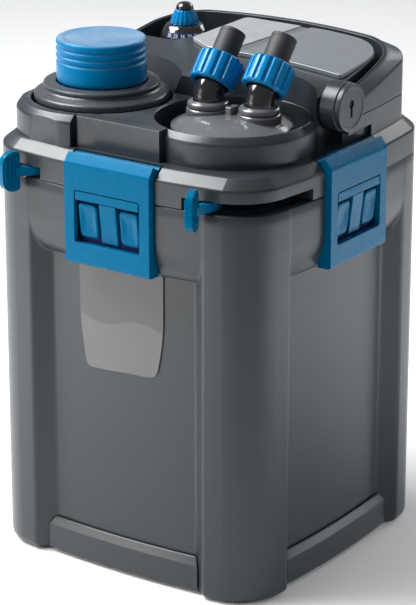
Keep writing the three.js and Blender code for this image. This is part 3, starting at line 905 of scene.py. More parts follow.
@dataclass(frozen=True)
class MetalFinish:
    """A brushed or drawn metal."""

    name: str
    colour: Colour
    roughness: float
    metallic: float = 1.0
    fineness: float = 2600.0
    line_depth: float = 0.02
    contrast: float = 0.25

    def material(self, effects: Effects) -> bpy.types.Material:
        """The finished material.

        Args:
            effects: the shared groups.

        Returns:
            The material.
        """
        material, kit, shader = started(self.name, Metallic=self.metallic)
        lines = use_group(kit, effects.brushing, Fineness=self.fineness)
        spread = kit.math("MULTIPLY", lines.outputs["Mask"], 0.18)
        kit.join(kit.math("ADD", spread, self.roughness), shader.inputs["Roughness"])
        dark = tuple(c * (1 - self.contrast) for c in self.colour)
        tone = kit.mix(lines.outputs["Mask"], dark, self.colour)
        drift = use_group(kit, effects.drift, Colour=tone, Amount=0.12, Scale=14.0)
        kit.join(drift.outputs[0], shader.inputs["Base Color"])
        kit.bump(lines.outputs["Height"], shader, self.line_depth, 0.3)
        return material


@dataclass(frozen=True)
class FoamFinish:
    """Open-cell filter foam."""

    name: str
    colour: Colour
    cell: float = 1.6

    def material(self, effects: Effects) -> bpy.types.Material:
        """The finished material.

        Args:
            effects: the shared groups.

        Returns:
            The material.
        """
        material, kit, shader = started(self.name, Roughness=0.95)
        cells = kit.add("ShaderNodeTexVoronoi", feature="F1")
        cells.inputs["Scale"].default_value = 1000.0 / self.cell
        kit.join(kit.place(), cells.inputs["Vector"])
        pore = kit.math("MULTIPLY", cells.outputs["Distance"], 1.3, True)
        drift = use_group(kit, effects.drift, Colour=self.colour, Amount=0.2, Scale=20.0)
        deep = tuple(c * 0.35 for c in self.colour)
        kit.join(kit.mix(pore, deep, drift.outputs[0]), shader.inputs["Base Color"])
        kit.bump(pore, shader, 0.6)
        return material


@dataclass(frozen=True)
class LabelFinish:
    """Two-tone printed film: a darker field above a paler one, parted by a wave."""

    name: str
    upper: Colour
    lower: Colour
    wave_height: float = 189.0
    wave_swing: float = 3.2
    wave_length: float = 62.0
    roughness: float = 0.42

    def material(self, effects: Effects) -> bpy.types.Material:
        """The finished material.

        Args:
            effects: the shared groups.

        Returns:
            The material.
        """
        base = MouldedFinish(self.name, self.upper, self.roughness, grain_depth=0.008, drift=0.05)
        material, kit, shader, tone = base.start(effects)
        place = kit.add("ShaderNodeSeparateXYZ")
        kit.join(kit.place(), place.inputs[0])
        turn = kit.math("MULTIPLY", place.outputs[0], 2 * math.pi / (self.wave_length * MM))
        swing = kit.math("MULTIPLY", kit.math("SINE", turn), self.wave_swing * MM)
        line = kit.math("ADD", swing, self.wave_height * MM)
        below = kit.math("MULTIPLY", kit.math("SUBTRACT", line, place.outputs[2]), 3000.0, True)
        kit.join(kit.mix(below, tone, self.lower), shader.inputs["Base Color"])
        return material


class Palette:
    """Every finish of the filter, made once."""

    def __init__(self) -> None:
        """Builds the shared effects and the materials."""
        effects = Effects()
        self.body = MouldedFinish(
            "satin_body", (0.024, 0.031, 0.037), 0.31, specular=0.4, grain_depth=0.025, spread=0.08, drift=0.08,
            dust_and_top_light=0.03, wear_and_edge_highlight=0.05,
        ).material(effects)
        self.blue = MouldedFinish(
            "blue_moulding", (0.0, 0.108, 0.225), 0.27, specular=0.2, tint=(0.02, 0.42, 0.9), drift=0.1,
        ).material(effects)
        # the large dust amount here is mostly painted top light, a paler top on the cap
        self.cap_blue = MouldedFinish(
            "blue_cap", (0.0, 0.15, 0.34), 0.28, specular=0.28, tint=(0.02, 0.45, 1.0), drift=0.12, dust_and_top_light=0.5,
        ).material(effects)
        self.nut_blue = MouldedFinish(
            "blue_nut", (0.0, 0.165, 0.4), 0.22, coat=0.35, coat_roughness=0.12, specular=0.4, tint=(0.02, 0.5, 1.0),
        ).material(effects)
        # painted shade: a darker navy copy of the blue plastic, for the claw's back plate deep in the latch's window
        self.recess = MouldedFinish(
            "blue_recess", (0.012, 0.022, 0.09), 0.5, specular=0.2, tint=(0.1, 0.3, 1.0),
        ).material(effects)
        self.gloss = MouldedFinish(
            "polished_black", (0.012, 0.012, 0.014), 0.12, coat=0.8, coat_roughness=0.03, grain_depth=0.004,
            spread=0.04,
        ).material(effects)
        self.dark = MouldedFinish(
            "dark_satin", (0.045, 0.052, 0.06), 0.28, specular=0.4, grain_depth=0.03, drift=0.15, dust_and_top_light=0.06, wear_and_edge_highlight=0.05,
        ).material(effects)
        self.dome = MouldedFinish(
            "dome_grey", (0.1, 0.104, 0.112), 0.2, coat=0.6, coat_roughness=0.1, grain_depth=0.012, drift=0.12,
            dust_and_top_light=0.1, wear_and_edge_highlight=0.06,
        ).material(effects)
        self.rubber = MouldedFinish(
            "matt_rubber", (0.017, 0.018, 0.021), 0.6, grain_size=0.2, grain_depth=0.05, drift=0.2, dust_and_top_light=0.2,
        ).material(effects)
        self.window = MouldedFinish(
            "dial_window", (0.01, 0.02, 0.1), 0.15, coat=0.6, coat_roughness=0.05, grain_depth=0.002,
        ).material(effects)
        self.figures = MouldedFinish("white_print", (0.75, 0.76, 0.78), 0.5, grain_depth=0.005).material(effects)
        self.label = LabelFinish("label_film", (0.08, 0.081, 0.082), (0.115, 0.116, 0.118)).material(effects)
        self.plate = MetalFinish("brushed_plate", (0.62, 0.64, 0.66), 0.34, metallic=0.6).material(effects)
        # painted shade: a darker copy of the same brushed plate, for the plate's right half
        self.plate_right_painted_shade = MetalFinish("brushed_plate_right", (0.33, 0.36, 0.39), 0.36, metallic=0.6).material(effects)
        self.plate_step = MetalFinish("brushed_step", (0.34, 0.36, 0.38), 0.34, metallic=0.75).material(effects)
        self.steel = MetalFinish("drawn_steel", (0.6, 0.61, 0.63), 0.22).material(effects)
        self.copper = MetalFinish("copper_winding", (0.55, 0.25, 0.12), 0.3, fineness=1400.0).material(effects)
        self.coarse_foam = FoamFinish("coarse_foam", (0.03, 0.13, 0.32), 2.4).material(effects)
        self.fine_foam = FoamFinish("fine_foam", (0.7, 0.24, 0.05), 1.2).material(effects)
        self.ceramic = MouldedFinish("ceramic", (0.8, 0.78, 0.74), 0.25, grain_depth=0.01).material(effects)


def dress(
    obj: bpy.types.Object,
    material: bpy.types.Material,
    body: str,
    nodes: Sequence[str] = (),
) -> bpy.types.Object:
    """Gives a piece its material and its place in the frame.

    Args:
        obj: the piece.
        material: its finish.
        body: the frame's body that it rides on.
        nodes: the frame's nodes that it stands for.

    Returns:
        The same piece.
    """
    obj.data.materials.clear()
    obj.data.materials.append(material)
    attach(obj, body)
    if nodes:
        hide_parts(*nodes)
    LOG.info("%s rides on %s, %d faces", obj.name, body, len(obj.data.polygons))
    return obj


# ---------------------------------------------------------------- canister


@dataclass
class Canister:
    """The square bucket: recessed side panels between corner columns, under a rolled collar."""

    underside: float = 0.8
    top: float = 283.4
    panel_half: float = 61.0
    flank_half: float = 73.0
    panel_depth: float = 9.0
    panel_bulge: float = 3.0
    collar_bend: float = 259.0
    collar_foot: float = 229.5
    collar_roll: float = 12.6
    channel_half: float = 37.5
    channel_depth: float = 1.5
    crease: float = 1.6
    mouth_inset: float = 11.5
    wall_inset: float = 14.8

    def columns(self, side: Side) -> list[float]:
        """Stops across one side, close together at the creases and at the latch channel's edges.

        Args:
            side: the side of the filter.

        Returns:
            The stops, from left to right in the side's own frame.
        """
        along = self._along(side)
        stops = spaced(-along, along, 4.0)
        for sign in (-1, 1):
            stops += [sign * x for x in spaced(58.5, 76.0, 0.7)]
            edge = side.latch_shift + sign * self.channel_half
            stops += [edge - 0.12, edge + 0.12]
        made: list[float] = []
        for x in sorted(stops):
            if -along < x < along and (not made or x - made[-1] > 0.05):
                made.append(x)
        return made

    @staticmethod
    def _along(side: Side) -> float:
        """Half length of a side between its corners."""
        half = PLAN.half_width if side.name in ("front", "rear") else PLAN.half_depth
        return half - PLAN.corner

    def depth(self, side: Side, x: float, z: float) -> float:
        """Distance of the outer surface in from the side's nominal line.

        Args:
            side: the side.
            x: place across it.
            z: height.

        Returns:
            The depth, negative where the surface stands proud of the line.
        """
        line = -PLAN.bulge * (1 - (x / (self._along(side) + PLAN.crease(0))) ** 2)
        across = abs(x)
        panel = self.panel_depth - self.panel_bulge * (1 - (x / self.panel_half) ** 2)
        flank = self.panel_depth - (across - self.panel_half) * 10.2 / (self.flank_half - self.panel_half)
        recess = smooth_min(panel, flank, self.crease) if across < 68 else flank
        surface = smooth_max(line, recess, self.crease)
        if z > self.collar_foot:
            sine = max(0.0, (self.collar_bend - z) / (self.collar_bend - self.collar_foot))
            roll = self.collar_roll * (1 - math.sqrt(max(0.0, 1 - sine * sine)))
            surface = smooth_min(surface, line + roll, 1.2)
        if z > self.collar_foot and abs(x - side.latch_shift) < self.channel_half:
            surface = max(surface, self.channel_depth)
        return surface

    def ring(self, inset: float, z: float, outer: bool) -> list[Point]:
        """One ring of the bucket.

        Args:
            inset: distance in from the footprint.
            z: height.
            outer: follows the panels, the collar and the latch channels.

        Returns:
            The ring's points.
        """
        points: list[Point] = []
        crease, face = PLAN.crease(inset), PLAN.corner_face(inset)
        for side in SIDES:
            along = self._along(side)
            for x in self.columns(side):
                line = -PLAN.bulge * (1 - (x / (along + crease)) ** 2)
                y = self.depth(side, x, z) if outer else line
                points.append(side.point(x, y + inset, z))
            points += [side.point(along + dy, PLAN.corner - dx, z) for dx, dy in face]
        return points

    def rows(self) -> list[tuple[float, float]]:
        """Inset and height of each outer ring, from the underside to the rim.

        Returns:
            The rows, from the bottom up.
        """
        low = self.underside
        foot = [(5.0, low), (3.2, low + 0.5), (1.6, low + 1.6), (0.5, low + 3.2), (0.0, low + 5.6)]
        wall = [(0.0, z) for z in (12, 45, 80, 115, 150, 185, 215, 226)]
        roll = [(0.0, z) for z in spaced(self.collar_foot - 1, self.collar_bend + 1, 0.9)]
        rim = [(0.0, 266.0), (0.0, 275.0), (0.0, 282.4), (0.3, 283.1), (0.9, self.top)]
        return foot + wall + roll + rim

    def build(self) -> bpy.types.Object:
        """Makes the bucket as one closed skin.

        Returns:
            The closed mesh.
        """
        rings = [self.ring(inset, z, True) for inset, z in self.rows()]
        inside = [
            (self.mouth_inset - 0.8, self.top), (self.mouth_inset, self.top - 0.7), (self.mouth_inset, 252.0),
            (self.wall_inset, 247.0), (self.wall_inset, 8.0), (self.wall_inset + 2.0, 6.0),
        ]
        rings += [self.ring(inset, z, False) for inset, z in inside]
        return shade(skin("canister_body", rings), 60.0)

    def strikes(self) -> bpy.types.Object:
        """The bars that the latch claws hook under.

        Returns:
            The four bars as one object.
        """
        bars = []
        for side in SIDES:
            bar = block("strike", (-22, 22), (-2, 3), (247.2, 251))
            bars.append(placed(bar, side.matrix()))
        return soften(merged("latch_strikes", bars), 0.6)

    def dress(self, palette: Palette) -> None:
        """Builds the pieces and gives them their finish.

        Args:
            palette: the finishes.
        """
        dress(self.build(), palette.body, "housing", ["canister_shell"])
        dress(self.strikes(), palette.body, "housing")


@dataclass
class Skirts:
    """The skirts that close the feet of the panel recesses."""

    low: float = 3.0
    high: float = 27.0
    bend: float = 21.5
    half: float = 66.0
    reach: float = 3.4

    def outline(self, half: float, reach: float) -> list[Flat]:
        """Plan of a skirt in a side's own frame, bowed like the panel.

        Args:
            half: half width of the skirt.
            reach: depth of its outer face at the ends.

        Returns:
            The outline's points.
        """
        steps = 24
        shares = [-1 + 2 * i / steps for i in range(steps + 1)]
        outer, inner = (
            [(wide * t, deep - 3.0 * (1 - t * t)) for t in shares] for wide, deep in ((half, reach), (60.4, 8.5)))
        return outer + inner[::-1]

    def build(self, side: Side) -> bpy.types.Object:
        """Makes the skirt of one side.

        Args:
            side: the side of the filter.

        Returns:
            The closed mesh.
        """
        sections = [(self.half, self.reach, self.low), (self.half, self.reach, self.bend), (62.4, 7.0, self.high)]
        rings = [[side.point(x, y, z) for x, y in self.outline(half, reach)] for half, reach, z in sections]
        return soften(skin(f"skirt_{side.name}", rings), 0.9, 3, 24.0)

    def dress(self, palette: Palette) -> None:
        """Builds the skirts and gives them their finish."""
        for side in SIDES:
            dress(self.build(side), palette.body, "housing", [f"base_skirt_{side.name}"])


@dataclass
class Label:
    """The film on the front panel, with a notched and waved foot."""

    thickness: float = 0.9
    panel: Canister = field(default_factory=Canister)
    outline: list[Corner] = field(default_factory=lambda: [
        (-35.8, 229.5, 1.5), (-35.6, 186, 9), (-31.5, 157, 6), (-29.5, 151, 4), (-14, 151.2, 8), (6, 153, 10),
        (24.5, 153.4, 6), (30.5, 156, 6), (33.5, 172, 9), (35.8, 190, 9), (35.8, 229.5, 1.5),
    ])

    def build(self) -> bpy.types.Object:
        """Makes the film, bowed like the panel that it lies on.

        Returns:
            The closed mesh.
        """
        plan = filleted(self.outline, 6, closed=True)
        sheet = skin("label", [[(x, y, z) for x, z in plan] for y in (-120.0, -90.0)])
        steps = 40
        line = [-50 + 100 * i / steps for i in range(steps + 1)]
        depth, bulge, half = self.panel.panel_depth, self.panel.panel_bulge, self.panel.panel_half
        rise = [depth - bulge * (1 - (x / half) ** 2) for x in line]
        outer = [(x, -PLAN.half_depth + y - self.thickness - 0.3) for x, y in zip(line, rise)]
        inner = [(x, -PLAN.half_depth + y - 0.2) for x, y in zip(line, rise)]
        bow = prism("bow", outer + inner[::-1], 140, 230)
        return soften(combine(sheet, Operation.KEEP, bow), 0.25, 2, 50.0)

    def dress(self, palette: Palette) -> None:
        """Builds the film and gives it its finish."""
        dress(self.build(), palette.label, "housing", ["label_plate"])


# ---------------------------------------------------------------- head


@dataclass
class Head:
    """The cover of the head, with its two wells and the raised block at the back."""

    bottom: float = 283.7
    band_top: float = 301.0
    ledge: float = 308.0
    ledge_inset: float = 9.0
    deck: float = 330.0
    ring_edge: float = 325.0
    front_wall: float = 103.0
    wall_inset: float = 22.5
    shelf_inset: float = 9.5
    shelf: float = 325.4
    slope: float = 7.6
    slope_y: float = 20.0
    slope_z: float = 348.6
    flare: float = 61.0
    flare_z: float = 356.0
    pivot_y: float = 3.0
    pivot_z: float = 336.0

    def top(self, _x: float, y: float) -> float:
        """Height of the sloping top of the raised block."""
        return self.slope_z + (y - self.slope_y) * math.tan(math.radians(self.slope))

    def band(self) -> bpy.types.Object:
        """The band above the seam, chamfered to the ledge.

        Returns:
            The closed mesh.
        """
        profile = filleted([
            (14.0, self.bottom, 0), (0.0, self.bottom, 1.0), (0.0, self.band_top, 1.6),
            (self.ledge_inset, self.ledge, 1.6), (20.0, self.ledge, 0),
        ], 4)
        return skin("head", [PLAN.ring(inset, z) for inset, z in profile])

    def well_ring(self, well: Well) -> bpy.types.Object:
        """The outside of a well's ring, with its chamfered top.

        Args:
            well: the well.

        Returns:
            The closed mesh.
        """
        return turned("well_ring", [
            (0, self.ledge - 4, 0), (well.ring, self.ledge - 4, 0), (well.ring, self.ring_edge, 1.4),
            (well.ring - 4.5, self.deck, 1.4), (0, self.deck, 0),
        ], well.axis, 192)

    def well_space(self, well: Well) -> bpy.types.Object:
        """The space of a well, flaring where it cuts into the raised block.

        Args:
            well: the well.

        Returns:
            The closed mesh.
        """
        return turned("well_space", [
            (0, 280, 0), (well.hole, 280, 0), (well.hole, well.floor, 0.8), (well.bore, well.floor, 1.5),
            (well.bore, self.deck - 0.6, 0), (well.bore + 0.7, self.deck + 0.1, 0),
            (self.flare, self.flare_z, 0), (self.flare, 380, 0), (0, 380, 0),
        ], well.axis, 192)

    def raised_block(self) -> bpy.types.Object:
        """The raised block at the back, its top sloping up to the rear.

        Returns:
            The closed mesh.
        """
        inset = self.wall_inset
        rings = [REAR.ring(inset, self.ledge - 4)]
        for extra, drop in ((0.0, 2.6), (0.2, 1.4), (0.8, 0.5), (1.7, 0.08), (2.8, 0.0)):
            rings.append(REAR.ring(inset + extra, lambda x, y, d=drop: self.top(x, y) - d))
        back = block("back", (-200, 200), (-16, 200), (290, 400))
        return combine(skin("raised_block", rings), Operation.KEEP, back)

    def handle_shelf(self) -> bpy.types.Object:
        """The shelf that the folded handle lies on.

        Returns:
            The closed mesh.
        """
        profile = filleted([(self.shelf_inset, 300, 0), (self.shelf_inset, self.shelf, 1.0), (20, self.shelf, 0)], 3)
        shelf = skin("shelf", [PLAN.ring(inset, z) for inset, z in profile])
        return combine(shelf, Operation.KEEP, block("back", (-200, 200), (5, 200), (290, 400)))

    def front(self) -> bpy.types.Object:
        """The flat front wall between the wells, with the groove beside it.

        Returns:
            The closed mesh.
        """
        wall = block("front_wall", (-43, 29.5), (-self.front_wall, 20), (self.ledge - 4, self.deck))
        near, low, high = -self.front_wall, self.deck - 1.6, self.deck + 2
        edge = drawn("edge", [(near - 1, low), (near - 1, high), (near + 1.6, high)], (-60, 60))
        return combine(wall, Operation.CUT, edge)

    def build(self) -> bpy.types.Object:
        """Joins and cuts the whole cover.

        Returns:
            The closed mesh.
        """
        inside = PLAN.solid("inside", self.ledge_inset, 290, 340)
        left_ring = combine(
            self.well_ring(PREFILTER_WELL), Operation.CUT,
            block("flat", (-43, 0), (-120, -self.front_wall), (self.ledge - 6, 340)))
        rings = combine(left_ring, Operation.JOIN, self.well_ring(ADAPTER_WELL))
        rings = combine(rings, Operation.KEEP, inside)
        cover = combine(
            self.band(), Operation.JOIN, rings, self.front(), self.handle_shelf(), self.raised_block())
        cover = combine(cover, Operation.CUT, self.well_space(PREFILTER_WELL), self.well_space(ADAPTER_WELL))
        return self.cuts(cover)

    def cuts(self, cover: bpy.types.Object) -> bpy.types.Object:
        """Cuts the heater corner, the boss recesses, the latch pockets, the lever slots and the groove.

        Args:
            cover: the joined cover.

        Returns:
            The finished cover.
        """
        corner = filleted([
            (-130, 40, 0), (-58, 40, 6), (-34, 97, 6), (-34, 130, 0), (-130, 130, 0)], 4, closed=True)
        tools = [
            prism("corner", corner, 343, 400),
            lathe("heater_hole", [(0, 300), (16, 300), (16, 350), (0, 350)], Axis(-72, 70), 48),
            block("groove", (-43, -40), (-120, -self.front_wall + 2.4), (self.ledge + 0.2, 340)),
            block("slot_right", (58, 140), (-140, -50), (280, 292.4)),
            block("slot_left", (-140, -62), (-140, -72), (280, 292.4)),
        ]
        for sign in (-1, 1):
            recess = lathe("recess", [(0, 0), (18.3, 0), (18.3, 30), (0, 30)], Axis(), 64)
            tools.append(placed(recess, facing_out(sign, 99.6, self.pivot_y, self.pivot_z)))
        for side in SIDES:
            for depth, low, high in ((1.5, 280, 310), (7.7, 300.5, 316)):
                pocket = block("pocket", (-37.5, 37.5), (-30, depth), (low, high))
                tools.append(placed(pocket, side.matrix()))
        return combine(cover, Operation.CUT, *tools)

    def dress(self, palette: Palette) -> None:
        """Builds the cover and gives it its finish.

        Args:
            palette: the finishes.
        """
        cover = even(self.build(), 32.0)
        cover.name = "head_body"
        dress(cover, palette.body, "housing", ["head_cover"])


@dataclass
class PumpCover:
    """The brushed plate over the pump, with its diagonal step."""

    thickness: float = 3.4
    lift: float = 0.3
    outline: list[Corner] = field(default_factory=lambda: [
        (-46, 43, 2), (-24, 31, 5), (46, 30, 10), (86, 23, 6), (95, 21, 3), (96, 40, 8), (95.5, 62, 8),
        (90.5, 72, 7), (81.5, 82.5, 8), (68, 89, 8), (40, 93.5, 8), (-33, 94, 5),
    ])
    head: Head = field(default_factory=Head)

    def slab(self, name: str, plan: Sequence[Flat], low: float, high: float) -> bpy.types.Object:
        """A piece of plate over a plan, lying on the sloping top."""
        return skin(name, [[(x, y, self.head.top(x, y) + lift) for x, y in plan] for lift in (low, high)])

    def dress(self, palette: Palette) -> None:
        """Builds the plate and its step and gives them their finish, the plate's right half a darker copy of it for
        painted shade.

        Args:
            palette: the finishes.
        """
        plan = filleted(self.outline, 5, closed=True)
        plate = self.slab("pump_plate", plan, self.lift, self.thickness)
        edge = [(-14, 10), (-5.5, 10), (29.5, 110), (21, 110)]
        plate = combine(plate, Operation.CUT, self.slab("step", edge, -3, 8))
        # the right half takes the darker copy of the plate's finish, painted shade
        for word, finish, xs, nodes in (
            ("left", palette.plate, (-200.0, -6.0, 25.0, -169.0), ["pump_cover"]),
            ("right", palette.plate_right_painted_shade, (-6.0, 200.0, 231.0, 25.0), []),
        ):
            half = linked(f"pump_plate_{word}", plate.data.copy())
            combine(half, Operation.KEEP, self.slab("half", list(zip(xs, (10, 10, 110, 110))), -5, 12))
            dress(soften(half, 0.35, 2, 30.0), finish, "housing", nodes)
        bpy.data.objects.remove(plate)
        band = [(-11.5, 30.8), (-0.2, 30.8), (22.6, 93.4), (12.8, 93.4)]
        step = self.slab("pump_plate_step", band, 0.3, 2.6)
        dress(soften(step, 0.2, 2), palette.plate_step, "housing")


# ---------------------------------------------------------------- handle


@dataclass
class Handle:
    """The carrying handle: a band round the back between two hubs on the head's sides."""

    outer: float = 9.5
    inner: float = 17.5
    low: float = 326.0
    top_y: float = 20.0
    top_z: float = 344.0
    slope: float = 12.2
    pivot_y: float = 3.0
    pivot_z: float = 336.0
    hub: float = 17.5
    wall: float = 99.6

    def top(self, y: float) -> float:
        """Height of the band's top at a place along the filter."""
        return self.top_z + (y - self.top_y) * math.tan(math.radians(self.slope))

    def section(self) -> list[tuple[float, float, float]]:
        """The band's section: inset, fixed height, and share of the sloping top's height.

        Returns:
            The section's points.
        """
        outer, inner = self.outer, self.inner
        loop = filleted([
            (outer, 0.0, 1.0), (outer, 2.4, 1.2), (outer + 3.6, 9.6, 1.2), (inner - 2.4, 10.2, 0.2),
            (inner - 2.2, 9.4, 0.2), (inner - 1.5, 9.4, 0.2), (inner - 1.3, 10.3, 0.2), (inner, 10.2, 0.6),
            (inner, 0.0, 0.8),
        ], 4, closed=True)
        return [(u, v, 1.0 if v > 1.1 else 0.0) for u, v in loop]

    def band(self) -> bpy.types.Object:
        """The band, swept round the back of the footprint.

        Returns:
            The closed mesh.
        """
        section = self.section()
        outlines = [(REAR if up > 4 or inset > self.outer + 4 else PLAN).plan(inset) for inset, up, _ in section]
        rings = []
        for i, (_, station) in enumerate(outlines[0]):
            if station <= self.pivot_y:
                continue
            ring = []
            for (inset, up, share), outline in zip(section, outlines):
                x, y = outline[i]
                z = self.top(y) - 10.2 + up if share else self.low + up
                ring.append((x, y, z))
            rings.append(ring)
        return skin("handle_band", rings)

    def hub_disc(self, sign: int) -> bpy.types.Object:
        """One hub of the handle."""
        disc = turned("hub", [(0, 0, 0), (self.hub, 0, 0.5), (self.hub, 11.7, 0.8), (0, 11.7, 0)], Axis(), 72, 3)
        return placed(disc, facing_out(sign, self.wall + 0.7, self.pivot_y, self.pivot_z))

    def pivot(self, sign: int, name: str) -> bpy.types.Object:
        """The disc over a hub, with its key hole and the tab below it.

        Args:
            sign: 1 for the right, -1 for the left.
            name: name of the new object.

        Returns:
            The closed mesh.
        """
        profile = [(0, 0, 0), (17, 0, 0), (17, 3.6, 0.9), (14.2, 3.6, 0.2), (13.9, 3.2, 0.2), (0, 3.2, 0)]
        disc = turned(name, profile, Axis(), 72, 3)
        shaft = lathe("shaft", [(0, -12), (6, -12), (6, 1), (0, 1)], Axis(), 32)
        tab = block("tab", (14, 18.7), (-3.5, 3.5), (0.2, 3.2))
        hole = lathe("hole", [(0, 1.6), (3, 1.6), (3, 6), (0, 6)], Axis(-2.5, 0), 32)
        slot = block("slot", (-2, 7), (-1.3, 1.3), (1.6, 6))
        disc = combine(combine(disc, Operation.JOIN, shaft, tab), Operation.CUT, hole, slot)
        at = Vector((sign * 112.4, self.pivot_y, self.pivot_z)) * MM
        turn = Matrix.Rotation(math.pi / 2, 4, "Y")
        if sign < 0:
            turn = Matrix.Rotation(math.pi, 4, "Z") @ turn
        return even(placed(disc, Matrix.Translation(at) @ turn), 30.0)

    def dress(self, palette: Palette) -> None:
        """Builds the handle and its pivots and gives them their finish.

        Args:
            palette: the finishes.
        """
        grip = combine(self.band(), Operation.JOIN, self.hub_disc(1), self.hub_disc(-1))
        grip.name = "handle"
        dress(soften(grip, 0.4, 2, 40.0), palette.body, "handle", ["carrying_handle"])
        for sign, word in ((1, "right"), (-1, "left")):
            piece = self.pivot(sign, f"pivot_{word}")
            dress(piece, palette.body, "housing", [f"handle_pivot_{word}"])


# ---------------------------------------------------------------- latches


@dataclass
class Latch:
    """A latch of one side: the frame with its window and the claw inside."""

    half: float = 36.0
    face: float = -10.0
    hinge_y: float = 4.0
    hinge_z: float = 304.5
    window_half: float = 27.5
    window_low: float = 247.0
    window_high: float = 284.5

    def frame_mesh(self) -> bpy.types.Object:
        """The frame in the latch's own frame.

        Returns:
            The closed mesh.
        """
        y, z = self.hinge_y, self.hinge_z
        turns = [math.radians(-60 + 210 * i / 12) for i in range(13)]
        barrel = [(y + 3.2 * math.cos(angle), z + 3.2 * math.sin(angle)) for angle in turns]
        front = filleted([
            barrel[-1] + (0,), (-4.5, 309.6, 1.2), (self.face, 302.5, 1.5), (self.face, 232.2, 1.6),
            (self.face + 2.2, 231.2, 0.8), (0.8, 231.2, 0.5), (0.8, 299.5, 0.6), (2, 301.6, 0),
        ], 4)
        frame = drawn("latch_frame", barrel + front[1:], (-self.half, self.half))
        hollow = block("hollow", (-32.5, 32.5), (-5.4, 10), (225, 296.5))
        plan = filleted([
            (-self.window_half, self.window_low, 2.5), (self.window_half, self.window_low, 2.5),
            (self.window_half, self.window_high, 2.0), (-self.window_half, self.window_high, 2.0)], 4, closed=True)
        window = skin("window", [[(x, py, pz) for x, pz in plan] for py in (-20.0, 10.0)])
        bore = [(y + 2 * math.cos(a), z + 2 * math.sin(a)) for a in (math.pi * k / 8 for k in range(16))]
        pin = drawn("pin_bore", bore, (-50.0, 50.0))
        return combine(frame, Operation.CUT, hollow, window, pin)

    def wing(self, sign: int) -> bpy.types.Object:
        """A scooped finger paddle beside the claw's stem.

        Args:
            sign: 1 for the right, -1 for the left.

        Returns:
            The closed mesh.
        """
        low, high = 250.6, 275.2
        plan = filleted([
            (9.6, low, 4.0), (25.2, low, 4.0), (25.2, high, 3.0), (9.6, high, 3.0)], 5, closed=True)
        centre = (17.4, (low + high) / 2)
        rings = [[(sign * x, -3.4, z) for x, z in plan]]
        for share, lift in ((1.0, 1.0), (0.97, 0.5), (0.9, 0.12), (0.8, 0.0), (0.55, -0.7), (0.25, -1.1)):
            ring = []
            for x, z in plan:
                u, w = centre[0] + (x - centre[0]) * share, centre[1] + (z - centre[1]) * share
                front = -6.3 - 2.6 * (w - low) / (high - low)
                ring.append((sign * u, front + lift * (1.0 if lift > 0 else -1.0), w))
            rings.append(ring)
        return skin("wing", rings)

    @staticmethod
    def hook_mesh() -> bpy.types.Object:
        """The claw's back plate, with the hook at its foot."""
        profile = [(-3.9, 244), (0.5, 244), (0.5, 246.5), (-2.6, 246.5), (-2.6, 284.3), (-3.9, 284.3)]
        return drawn("latch_hook", profile, (-26.9, 26.9))

    def claw_mesh(self) -> bpy.types.Object:
        """The face of the claw: a T-shaped tongue and two paddles.

        Returns:
            The closed mesh.
        """
        half = self.window_half - 0.7
        bar = block("bar", (-half, half), (self.face + 0.1, -3), (277.5, 283.8))
        slope = [(self.face + 0.4, 278.5), (-6.0, 249.4), (-5.4, 248.6), (-3, 248.6), (-3, 278.5)]
        stem = drawn("stem", slope, (-7.0, 7.0))
        return combine(bar, Operation.JOIN, stem, self.wing(-1), self.wing(1))

    def dress(self, palette: Palette) -> None:
        """Builds the latches and gives them their finish.

        Args:
            palette: the finishes.
        """
        # the claw's back plate takes the navy copy of the blue plastic, painted shade in the window's gaps
        kinds = (
            ("hook", "claw", "", self.hook_mesh(), palette.recess, 0.3, 2),
            ("latch", "latch", "latch_frame", self.frame_mesh(), palette.blue, 0.8, 3),
            ("claw", "claw", "latch_claw", self.claw_mesh(), palette.blue, 0.7, 3),
        )
        for side in SIDES:
            for kind, body, node, pattern, finish, radius, steps in kinds:
                piece = placed(linked(f"{kind}_{side.name}", pattern.data.copy()), side.matrix())
                nodes = [f"{node}_{side.name}"] if node else []
                dress(soften(piece, radius, steps, 40.0), finish, f"{body}_{side.name}", nodes)
        for kind in kinds:
            bpy.data.objects.remove(kind[3])


# ---------------------------------------------------------------- locking levers


